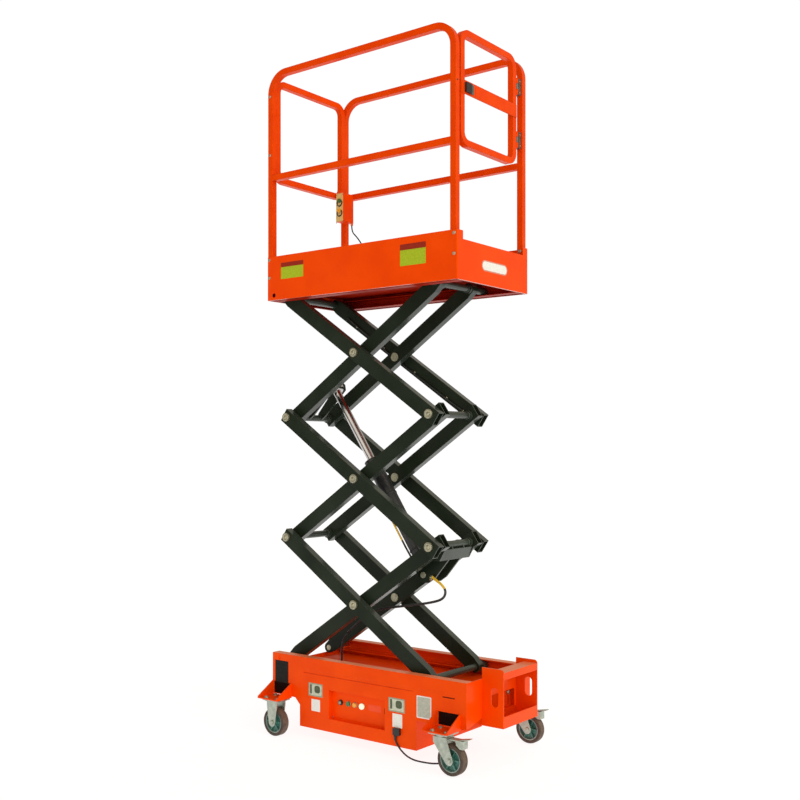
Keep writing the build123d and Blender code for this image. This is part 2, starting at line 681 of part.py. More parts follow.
def fork(x_top, x_axle, z_top):
    inside = WHEEL_WIDTH / 2 + FORK_GAP
    reach = inside + FORK_SHEET
    shape = block(x_top - FORK_CROWN, x_top + FORK_CROWN, -reach, reach, z_top - FORK_SHEET, z_top)
    for y in (-reach, inside):
        shape = shape + Pos(0, y + FORK_SHEET, 0) * extrude(fork_leg(x_top, x_axle, z_top), FORK_SHEET)
    shape = shape + round_y(x_axle, WHEEL_RADIUS, -reach - 6, reach + 6, AXLE_RADIUS)
    nut = round_y(x_axle, WHEEL_RADIUS, reach, reach + 5, AXLE_NUT)
    return shape + nut + mirror(nut, about=Plane.XZ)


def brake_pedal(z_top):
    x0, top = SWIVEL_X + FORK_CROWN, z_top - PEDAL_SHEET - 1
    half = PEDAL_WIDTH / 2
    arm_part = block(x0, x0 + SHOE_END, -half, half, top - PEDAL_SHEET, top)
    shoe = plate_xz([
        (x0 + SHOE_START, top), (x0 + SHOE_END, top),
        (x0 + SHOE_END, z_top - SHOE_DEPTH), (x0 + SHOE_END - 18, z_top - SHOE_DEPTH),
        (x0 + SHOE_START, z_top - SHOE_DEPTH + 16),
    ], -half, half)
    hollow = plate_xz([
        (x0 + SHOE_START - 1, top - PEDAL_SHEET), (x0 + SHOE_END - PEDAL_SHEET, top - PEDAL_SHEET),
        (x0 + SHOE_END - PEDAL_SHEET, z_top - SHOE_DEPTH - 1), (x0 + SHOE_START - 1, z_top - SHOE_DEPTH - 1),
    ], -half + PEDAL_SHEET, half - PEDAL_SHEET)
    lever = plate_xz([
        (x0 + SHOE_START, top - PEDAL_SHEET), (x0 + SHOE_START, top),
        (x0 + PEDAL_REACH, z_top + 7), (x0 + PEDAL_REACH, z_top + 4),
    ], -half + 5, half - 5)
    return arm_part + (shoe - hollow) + lever


def wheel(x, name, side):
    place = Pos(x, side * WHEEL_Y, WHEEL_RADIUS) * Rot(90, 0, 0)
    tyre = Cylinder(WHEEL_RADIUS, WHEEL_WIDTH)
    rims = tyre.edges().filter_by(GeomType.CIRCLE)
    tyre = fillet(rims, TREAD_ROUND) - Cylinder(RIM_RADIUS, WHEEL_WIDTH + 2)
    keep("tyre_" + name, place * tyre)
    width = WHEEL_WIDTH - 8
    hub = Cylinder(RIM_RADIUS, width) - Cylinder(RIM_RADIUS - RIM_WALL, width + 2)
    hub = hub + Cylinder(RIM_RADIUS - 1, 2 * WEB_HALF) + Cylinder(HUB_BOSS, WHEEL_WIDTH)
    for spoke in range(SPOKE_COUNT):
        turn = Rot(0, 0, spoke * 360 / SPOKE_COUNT)
        hub = hub + turn * Pos(RIM_RADIUS / 2 + 5, 0, 0) * Box(RIM_RADIUS - 14, 7, width - 8)
    hub = hub - Cylinder(AXLE_RADIUS + BORE_CLEARANCE, WHEEL_WIDTH + 2)
    keep("hub_" + name, place * hub)


def make_casters():
    brackets = mirrored(bracket(BRACKET_LEFT_X)) + mirrored(bracket(BRACKET_RIGHT_X))
    keep("caster_brackets", brackets)
    z_plate = BRACKET_Z - CASTER_PLATE
    fixed = caster_plate(FIXED_X) + Pos(0, -WHEEL_Y, 0) * fork(FIXED_X, FIXED_X, z_plate)
    keep("fixed_forks", mirrored(fixed))
    race = round_z(SWIVEL_X, -WHEEL_Y, z_plate - RACE_HEIGHT, z_plate, RACE_RADIUS)
    keep("swivel_plates", mirrored(caster_plate(SWIVEL_X) + race))
    z_fork = z_plate - RACE_HEIGHT - 1
    turning = fork(SWIVEL_X, SWIVEL_X + TRAIL, z_fork) + brake_pedal(z_fork)
    keep("caster_fork_near", Pos(0, -WHEEL_Y, 0) * turning)
    keep("caster_fork_far", Pos(0, WHEEL_Y, 0) * turning)
    for name, side in (("near", -1), ("far", 1)):
        wheel(FIXED_X, "left_" + name, side)
        wheel(SWIVEL_X + TRAIL, "right_" + name, side)


# Platform

def skirt_ring(height, thickness):
    outer = Rectangle(PLATFORM_LENGTH, PLATFORM_WIDTH)
    outer = fillet(outer.vertices(), SKIRT_ROUND)
    inner = Rectangle(PLATFORM_LENGTH - 2 * thickness, PLATFORM_WIDTH - 2 * thickness)
    return extrude(outer - inner, height)


def make_skirt():
    centre = Pos((X_LEFT + PLATFORM_RIGHT) / 2, 0, SKIRT_BOTTOM)
    skirt = centre * skirt_ring(SKIRT_HEIGHT, SKIRT_SHEET)
    skirt = skirt + centre * skirt_ring(SKIRT_SHEET, SKIRT_LIP)
    gap = PLATFORM_HALF - TAB_WIDTH
    z0, z1 = SKIRT_BOTTOM + END_SKIRT_HEIGHT, SKIRT_BOTTOM + SKIRT_HEIGHT + 1
    for x in (X_LEFT, PLATFORM_RIGHT):
        skirt = skirt - block(x - 10, x + 10, -gap, gap, z0, z1)
    access = round_y(PIN_X, PLATFORM_PIN_Z, -PLATFORM_HALF - 1, PLATFORM_HALF + 1, ACCESS_RADIUS)
    x, y, z = BOX_CORD_ROUTE[-1]
    shelf = block(x - 10, x + 10, y - 10, PLATFORM_HALF - 1, DECK_TOP - DECK_THICKNESS, DECK_TOP - 1)
    gland = round_z(x, y, DECK_TOP - 2, z, 9)
    keep("platform_skirt", skirt - access + shelf + gland)


def make_deck():
    x0, x1 = X_LEFT + SKIRT_SHEET, PLATFORM_RIGHT - SKIRT_SHEET
    y = PLATFORM_HALF - SKIRT_SHEET
    z0 = SKIRT_BOTTOM + DECK_UNDER
    deck = block(x0, x1, -y, y, z0, z0 + DECK_THICKNESS)
    half = TUBE / 2
    for post in (POST_LEFT_X, POST_RIGHT_X):
        for side in mirrored(block(post - half, post + half, -y - 1, -POST_FACE, z0 - 1, DECK_TOP + 1)):
            deck = deck - side
    notch_x, notch_y, notch_z = BOX_CORD_ROUTE[-1]
    deck = deck - block(notch_x - 14, notch_x + 14, notch_y - 14, y + 1, z0 - 1, DECK_TOP + 1)
    rib = block(x0, x1, -30, 30, z0 - 14, z0)
    keep("platform_deck", deck + rib)

    x0, x1 = X_LEFT + SKIRT_LIP, PLATFORM_RIGHT - SKIRT_LIP
    top = PLATFORM_PIN_Z + DECK_RAIL_HEIGHT / 2
    bottom = PLATFORM_PIN_Z - DECK_RAIL_HEIGHT / 2
    outer, wall = -DECK_RAIL_HALF, DECK_RAIL_WALL
    inner = outer + DECK_RAIL_FLANGE
    rail = block(x0, x1, outer, inner, bottom, top)
    hollow = block(x0 - 1, x1 + 1, outer + wall, inner + 1, bottom + wall, top - wall)
    hanger = block(x0, x1, outer, outer + wall, top, z0)
    pin = round_y(PIN_X, PLATFORM_PIN_Z, outer + wall - 1, -OUTER_IN, PIN_RADIUS)
    keep("platform_rails", mirrored(rail - hollow + hanger + pin))


def tube_section():
    return Rectangle(TUBE, TUBE) - Rectangle(TUBE - 2 * TUBE_WALL, TUBE - 2 * TUBE_WALL)


def make_guard_rails():
    y = -POST_FACE - TUBE / 2
    top = SKIRT_BOTTOM + GUARD_RAIL_TOP - TUBE / 2
    bottom = DECK_TOP - DECK_THICKNESS
    path = FilletPolyline(
        (POST_LEFT_X, y, bottom), (POST_LEFT_X, y, top),
        (POST_RIGHT_X, y, top), (POST_RIGHT_X, y, bottom),
        radius=BEND_RADIUS,
    )
    loop = sweep(Plane(origin=path @ 0, z_dir=path % 0) * tube_section(), path)
    half = TUBE / 2
    mid_z = SKIRT_BOTTOM + MID_RAIL
    mid = block(POST_LEFT_X + half - 1, POST_RIGHT_X - half + 1, y - half, y + half, mid_z - half, mid_z + half)
    keep("guard_rail_near", loop + mid)
    keep("guard_rail_far", mirror(loop + mid, about=Plane.XZ))
    keep("end_guard", closed_frame(POST_LEFT_X, -POST_FACE, POST_FACE))


def closed_frame(x, y0, y1):
    outer = Rectangle(y1 - y0, GUARD_TOP - GUARD_BOTTOM)
    outer = fillet(outer.vertices(), GUARD_BEND + TUBE / 2)
    inner = Rectangle(y1 - y0 - 2 * TUBE, GUARD_TOP - GUARD_BOTTOM - 2 * TUBE)
    inner = fillet(inner.vertices(), GUARD_BEND - TUBE / 2)
    middle = SKIRT_BOTTOM + (GUARD_TOP + GUARD_BOTTOM) / 2
    plane = Plane(origin=(x, (y0 + y1) / 2, middle), x_dir=(0, 1, 0), z_dir=(1, 0, 0))
    return extrude(plane * (outer - inner), TUBE / 2, both=True)


def knuckle(z0, z1):
    return round_z(POST_RIGHT_X, HINGE_Y, z0, z1, HINGE_RADIUS)


def make_gate():
    gate = closed_frame(POST_RIGHT_X, GATE_LEFT, GATE_RIGHT)
    face = POST_RIGHT_X + TUBE / 2
    plate_z = SKIRT_BOTTOM + GATE_PLATE_BOTTOM
    plate = block(
        face - 1, face + GATE_PLATE,
        GATE_LEFT + 4, GATE_RIGHT - 4,
        plate_z, SKIRT_BOTTOM + GATE_PLATE_TOP,
    )
    gate = gate + plate
    third = HINGE_HEIGHT / 3
    hinges = []
    for z in (SKIRT_BOTTOM + LOWER_HINGE, SKIRT_BOTTOM + UPPER_HINGE):
        leaf = block(
            POST_RIGHT_X - TUBE / 2, POST_RIGHT_X + TUBE / 2 - 8,
            HINGE_Y + HINGE_RADIUS + 2, POST_FACE,
            z, z + HINGE_HEIGHT,
        )
        web = block(POST_RIGHT_X - 4, POST_RIGHT_X + 4, HINGE_Y, HINGE_Y + 12, z + third, z + 2 * third)
        hinges.append(leaf + web + knuckle(z + third, z + 2 * third))
        for bottom in (z, z + 2 * third + 1):
            top = bottom + third - 1
            web = block(POST_RIGHT_X - 4, POST_RIGHT_X + 4, GATE_RIGHT - 1, HINGE_Y, bottom, top)
            gate = gate + web + knuckle(bottom, top)
    keep("gate_frame", gate)
    keep("gate_hinges", hinges)
    latch = block(
        face + GATE_PLATE, face + GATE_PLATE + 12,
        GATE_LEFT + 24, GATE_LEFT + 66,
        plate_z + 8, plate_z + 50,
    )
    keep("gate_latch", latch)


def make_control_box():
    x, z = BOX_LEFT, SKIRT_BOTTOM + BOX_ABOVE_SKIRT
    y0 = POST_FACE - BOX_DEPTH
    shell = block(x, x + BOX_WIDTH, y0, POST_FACE, z, z + BOX_HEIGHT)
    shell = chamfer(shell.edges().filter_by(Axis.Z), 4)
    gland = round_z(BOX_CORD_ROUTE[0][0], BOX_CORD_Y, BOX_CORD_TOP, z, BOX_GLAND)
    keep("control_box", shell + gland)
    middle = x + BOX_WIDTH / 2
    up = round_y(middle, z + UP_BUTTON, y0 - 8, y0, 11)
    down = round_y(middle, z + DOWN_BUTTON, y0 - 8, y0, 11)
    keep("control_box_buttons", [up, down])


def make_mains_cord():
    cord_tube("mains_cord", MAINS_ROUTE, CORD_RADIUS)
    before, end = Vector(*MAINS_ROUTE[-2]), Vector(*MAINS_ROUTE[-1])
    way = (end - before).normalized()
    touch = end + way * COIL_LEAD
    centre = touch + Vector(-way.Y, way.X, 0) * COIL_RADIUS
    ring = Cylinder(COIL_RADIUS + COIL_HALF_WIDTH, COIL_HEIGHT)
    ring = ring - Cylinder(COIL_RADIUS - COIL_HALF_WIDTH, COIL_HEIGHT)
    ring = fillet(ring.edges().filter_by(GeomType.CIRCLE), CORD_RADIUS)
    coil = Pos(centre.X, centre.Y, COIL_HEIGHT / 2) * ring
    lead = Plane(origin=end, z_dir=way) * Cylinder(CORD_RADIUS, 2 * COIL_LEAD)
    lead = lead - Plane(origin=end, z_dir=way) * Pos(0, 0, -COIL_LEAD) * Cylinder(3 * CORD_RADIUS, 2 * COIL_LEAD)
    z = PLUG_HEIGHT / 2
    y = centre.Y + COIL_RADIUS
    exit_x = centre.X - COIL_RADIUS
    coil = coil + lead + round_x(y, z, exit_x, centre.X, CORD_RADIUS)
    keep("mains_coil", coil)

    body_x = exit_x - 14
    neck = round_x(y, z, body_x, exit_x, 7)
    body = block(body_x - PLUG_LENGTH, body_x, y - PLUG_WIDTH / 2, y + PLUG_WIDTH / 2, 0, PLUG_HEIGHT)
    body = chamfer(body.edges().filter_by(Axis.X), 4)
    plug = neck + body
    for side in (-9.5, 9.5):
        plug = plug + round_x(y + side, z, body_x - PLUG_LENGTH - 19, body_x - PLUG_LENGTH, 2.4)
    keep("mains_plug", plug)


def make_other_cords():
    cord_tube("box_cord", BOX_CORD_ROUTE, BOX_CORD_RADIUS)
    cord_tube("tray_hose", TRAY_HOSE_ROUTE, TRAY_HOSE_RADIUS)


def main():
    os.makedirs("parts", exist_ok=True)
    make_base_frame()
    make_panels()
    make_controls()
    make_step()
    make_casters()
    make_arms()
    make_pins()
    make_rollers()
    make_cylinder()
    make_skirt()
    make_deck()
    make_guard_rails()
    make_gate()
    make_control_box()
    make_mains_cord()
    make_other_cords()


main()
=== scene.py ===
"""Looks of the scissor lift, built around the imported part. Metres, +Z up, +X the gate end."""

import math

import bmesh
import bpy
from mathutils import Matrix, Vector


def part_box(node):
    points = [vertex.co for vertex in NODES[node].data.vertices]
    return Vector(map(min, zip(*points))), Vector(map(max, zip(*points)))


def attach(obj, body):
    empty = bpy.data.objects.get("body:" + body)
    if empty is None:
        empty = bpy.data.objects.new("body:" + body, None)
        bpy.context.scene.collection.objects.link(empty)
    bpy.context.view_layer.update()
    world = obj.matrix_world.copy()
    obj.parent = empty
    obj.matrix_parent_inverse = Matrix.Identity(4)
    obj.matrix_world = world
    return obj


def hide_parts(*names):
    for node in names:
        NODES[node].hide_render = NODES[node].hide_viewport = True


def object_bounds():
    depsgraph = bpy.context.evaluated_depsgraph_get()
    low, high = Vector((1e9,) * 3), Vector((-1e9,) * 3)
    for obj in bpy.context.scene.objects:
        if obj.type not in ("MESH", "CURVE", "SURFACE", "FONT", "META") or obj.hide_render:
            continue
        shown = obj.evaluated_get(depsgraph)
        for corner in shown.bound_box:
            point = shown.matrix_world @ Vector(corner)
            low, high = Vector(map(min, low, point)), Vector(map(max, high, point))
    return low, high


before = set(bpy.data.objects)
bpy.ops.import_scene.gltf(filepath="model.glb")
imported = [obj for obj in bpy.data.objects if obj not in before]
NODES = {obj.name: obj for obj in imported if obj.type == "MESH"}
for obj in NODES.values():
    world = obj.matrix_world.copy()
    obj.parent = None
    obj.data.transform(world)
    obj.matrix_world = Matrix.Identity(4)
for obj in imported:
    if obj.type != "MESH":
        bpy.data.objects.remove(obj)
CAD_LOW, CAD_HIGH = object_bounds()

# Camera
CAMERA_AT = (3.186, -4.171, 1.436)
CAMERA_TURN = math.radians(37.7)
LENS = 48.0
SHIFT_UP = 0.06

# Light: the surround grows brighter along one direction, and both suns are warm
SURROUND_TOWARD = (0.61, 0.79, 0.10)
SURROUND_DIM, SURROUND_BRIGHT = 0.34, 0.60
BACKDROP = 1.02
SURROUND_COLOUR = (1.0, 0.93, 0.80)
SUN_COLOUR = (1.0, 0.94, 0.80)
FLOOR_HALF = 30.0

# Sizes shared with the part, in metres
SKIRT_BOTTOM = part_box("platform_skirt")[0].z
DECK_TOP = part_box("platform_deck")[1].z
PLATFORM_LOW, PLATFORM_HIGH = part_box("platform_skirt")
BASE_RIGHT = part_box("side_panel_near")[1].x
PANEL_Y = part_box("side_panel_near")[0].y
PIN_X = -0.610
PIN_Z = 0.368
RISE = 0.61267
NODE_X = 0.29152
MIDDLE_X = (PIN_X + NODE_X) / 2
PLATFORM_PIN_Z = PIN_Z + 3 * RISE
TRAY_FLOOR = 0.320
RAIL_INSIDE = 0.266
RAIL_TOP = 0.398
STEP_TOP_ABOVE = 0.400
HUB_RIM_RADIUS = 0.046
CONTROL_EDGES = (-0.19, -0.145, -0.10)
ARM_TURN = math.radians(34.2)
POST_LEFT_X = -0.6385
POST_RIGHT_X = 0.4875
POST_FACE = 0.267
PIN_HEAD_Y = 0.218
WHEELS = ("left_near", "left_far", "right_near", "right_far")
MAINS_ROUTE = [
    (0.150, -0.279, 0.108),
    (0.150, -0.279, 0.080),
    (0.172, -0.276, 0.049),
    (0.205, -0.270, 0.020),
    (0.246, -0.264, 0.005),
    (0.300, -0.261, 0.004),
    (0.350, -0.251, 0.004),
    (0.388, -0.205, 0.004),
    (0.392, -0.145, 0.004),
    (0.372, -0.085, 0.004),
    (0.320, -0.035, 0.004),
    (0.258, 0.004, 0.004),
    (0.198, 0.030, 0.004),
    (0.146, 0.070, 0.004),
]
BOX_CORD_TOP = SKIRT_BOTTOM + 0.463
BOX_CORD_ROUTE = [
    (-0.5685, 0.2580, BOX_CORD_TOP),
    (-0.5685, 0.2580, BOX_CORD_TOP - 0.0341),
    (-0.5317, 0.2570, BOX_CORD_TOP - 0.0663),
    (-0.4962, 0.2560, BOX_CORD_TOP - 0.1099),
    (-0.4662, 0.2550, BOX_CORD_TOP - 0.1629),
    (-0.4521, 0.2550, BOX_CORD_TOP - 0.2312),
    (-0.4460, 0.2540, BOX_CORD_TOP - 0.3013),
    (-0.4460, 0.2540, DECK_TOP + 0.014),
]
TRAY_HOSE_ROUTE = [
    (-0.334, -0.096, 0.334),
    (-0.334, -0.096, 0.384),
    (-0.332, -0.097, 0.434),
    (-0.322, -0.098, 0.476),
    (-0.296, -0.099, 0.506),
]


# Camera, floor and light


def make_camera():
    data = bpy.data.cameras.new("camera")
    data.lens = LENS
    data.sensor_width = 36.0
    data.shift_y = SHIFT_UP
    data.clip_end = 60.0
    camera = bpy.data.objects.new("camera", data)
    camera.location = CAMERA_AT
    camera.rotation_euler = (math.pi / 2, 0.0, CAMERA_TURN)
    bpy.context.scene.collection.objects.link(camera)
    bpy.context.scene.camera = camera


def sun(name, toward, energy, angle):
    data = bpy.data.lights.new(name, "SUN")
    data.energy = energy
    data.angle = math.radians(angle)
    data.color = SUN_COLOUR
    light = bpy.data.objects.new(name, data)
    light.rotation_euler = Vector(toward).to_track_quat("-Z", "Y").to_euler()
    bpy.context.scene.collection.objects.link(light)


def make_world():
    """White behind the object, and a softer surround for light and reflections, dimmer at the front left."""
    world = bpy.data.worlds.new("studio")
    world.use_nodes = True
    tree = world.node_tree
    background = tree.nodes["Background"]
    place = tree.nodes.new("ShaderNodeTexCoord")
    dot = tree.nodes.new("ShaderNodeVectorMath")
    dot.operation = "DOT_PRODUCT"
    dot.inputs[1].default_value = SURROUND_TOWARD
    tree.links.new(place.outputs["Generated"], dot.inputs[0])
    around = remap(tree, dot.outputs["Value"], -1.0, 1.0, SURROUND_DIM, SURROUND_BRIGHT)
    path = tree.nodes.new("ShaderNodeLightPath")
    seen = tree.nodes.new("ShaderNodeMix")
    tree.links.new(path.outputs["Is Camera Ray"], seen.inputs["Factor"])
    tree.links.new(around, seen.inputs["A"])
    seen.inputs["B"].default_value = BACKDROP
    tree.links.new(seen.outputs["Result"], background.inputs["Strength"])
    warm = blend_colour(tree, path.outputs["Is Camera Ray"], SURROUND_COLOUR, (1.0, 1.0, 1.0))
    tree.links.new(warm, background.inputs["Color"])
    bpy.context.scene.world = world


def make_studio():
    scene = bpy.context.scene
    scene.view_settings.view_transform = "Standard"
    make_world()
    sun("key", (-0.88, 0.19, -0.43), 1.3, 50)
    sun("fill", (-0.25, 0.95, -0.16), 0.75, 70)

    mesh = bpy.data.meshes.new("floor")
    side = FLOOR_HALF
    mesh.from_pydata(
        [(-side, -side, 0), (side, -side, 0), (side, side, 0), (-side, side, 0)], [], [(0, 1, 2, 3)],
    )
    floor = bpy.data.objects.new("floor", mesh)
    floor.location = (0, 0, CAD_LOW.z - 0.0005)
    scene.collection.objects.link(floor)
    floor.data.materials.append(plain("floor_white", (0.20, 0.20, 0.20), 0.9, glow=0.88))


# Materials


def plain(name, colour, roughness, metallic=0.0, glow=0.0):
    material = bpy.data.materials.new(name)
    material.use_nodes = True
    shader = material.node_tree.nodes["Principled BSDF"]
    shader.inputs["Base Color"].default_value = (*colour, 1)
    shader.inputs["Roughness"].default_value = roughness
    shader.inputs["Metallic"].default_value = metallic
    shader.inputs["Emission Color"].default_value = (1, 1, 1, 1)
    shader.inputs["Emission Strength"].default_value = glow
    return material


def noise(tree, scale, detail=3.0, stretch=(1, 1, 1)):
    place = tree.nodes.new("ShaderNodeTexCoord")
    mapping = tree.nodes.new("ShaderNodeMapping")
    mapping.inputs["Scale"].default_value = stretch
    texture = tree.nodes.new("ShaderNodeTexNoise")
    texture.inputs["Scale"].default_value = scale
    texture.inputs["Detail"].default_value = detail
    tree.links.new(place.outputs["Object"], mapping.inputs["Vector"])
    tree.links.new(mapping.outputs["Vector"], texture.inputs["Vector"])
    return texture.outputs["Fac"]


def remap(tree, value, low, high, to_low, to_high):
    node = tree.nodes.new("ShaderNodeMapRange")
    for socket, number in zip(("From Min", "From Max", "To Min", "To Max"), (low, high, to_low, to_high)):
        node.inputs[socket].default_value = number
    tree.links.new(value, node.inputs["Value"])
    return node.outputs["Result"]


def blend_colour(tree, factor, first, second):
    node = tree.nodes.new("ShaderNodeMix")
    node.data_type = "RGBA"
    tree.links.new(factor, node.inputs["Factor"])
    for socket, colour in zip((6, 7), (first, second)):
        if isinstance(colour, tuple):
            node.inputs[socket].default_value = (*colour, 1)
        else:
            tree.links.new(colour, node.inputs[socket])
    return node.outputs[2]


def multiply(tree, first, second):
    node = tree.nodes.new("ShaderNodeMath")
    node.operation = "MULTIPLY"
    tree.links.new(first, node.inputs[0])
    if isinstance(second, float):
        node.inputs[1].default_value = second
    else:
        tree.links.new(second, node.inputs[1])
    return node.outputs[0]


def edge_wear(tree, radius):
    """How much the surface turns within a small radius, from 0 on flats to 1 on edges."""
    rounded = tree.nodes.new("ShaderNodeBevel")
    rounded.samples = 4
    rounded.inputs["Radius"].default_value = radius
    flat = tree.nodes.new("ShaderNodeNewGeometry")
    dot = tree.nodes.new("ShaderNodeVectorMath")
    dot.operation = "DOT_PRODUCT"
    tree.links.new(rounded.outputs["Normal"], dot.inputs[0])
    tree.links.new(flat.outputs["Normal"], dot.inputs[1])
    return remap(tree, dot.outputs["Value"], 0.98, 0.80, 0.0, 1.0)


def surface(
    name, light, dark, roughness, metallic=0.0, grain=40.0, grain_detail=4.0, stretch=(1, 1, 1),
    bump=0.08, bump_scale=900.0, bump_depth=0.0004, rough_spread=0.12, wear=None, wear_radius=0.002,
    coat=0.0, edge=0.0015, specular=0.5, tint=(1.0, 1.0, 1.0),
):
    """A painted, metal or moulded surface: blotchy tone, uneven gloss, fine relief, soft and worn edges."""
    material = bpy.data.materials.new(name)
    material.use_nodes = True
    tree = material.node_tree
    shader = tree.nodes["Principled BSDF"]
    shader.inputs["Metallic"].default_value = metallic
    shader.inputs["Coat Weight"].default_value = coat
    shader.inputs["Coat Roughness"].default_value = 0.12
    shader.inputs["Specular IOR Level"].default_value = specular
    shader.inputs["Specular Tint"].default_value = (*tint, 1)
    tone = noise(tree, grain, grain_detail, stretch)
    colour = blend_colour(tree, remap(tree, tone, 0.35, 0.65, 0.0, 1.0), dark, light)
    if wear:
        patchy = remap(tree, noise(tree, 60.0, 5.0), 0.42, 0.62, 0.0, 1.0)
        worn = multiply(tree, edge_wear(tree, wear_radius), patchy)
        colour = blend_colour(tree, worn, colour, wear)
    tree.links.new(colour, shader.inputs["Base Color"])
    gloss = noise(tree, grain * 0.6, 5.0, stretch)
    tree.links.new(
        remap(tree, gloss, 0.3, 0.7, roughness - rough_spread / 2, roughness + rough_spread / 2),
        shader.inputs["Roughness"],
    )
    relief = tree.nodes.new("ShaderNodeBump")
    relief.inputs["Strength"].default_value = bump
    relief.inputs["Distance"].default_value = bump_depth
    tree.links.new(noise(tree, bump_scale, 2.0, stretch), relief.inputs["Height"])
    if edge:
        rounded = tree.nodes.new("ShaderNodeBevel")
        rounded.samples = 4
        rounded.inputs["Radius"].default_value = edge
        tree.links.new(rounded.outputs["Normal"], relief.inputs["Normal"])
    tree.links.new(relief.outputs["Normal"], shader.inputs["Normal"])
    return material


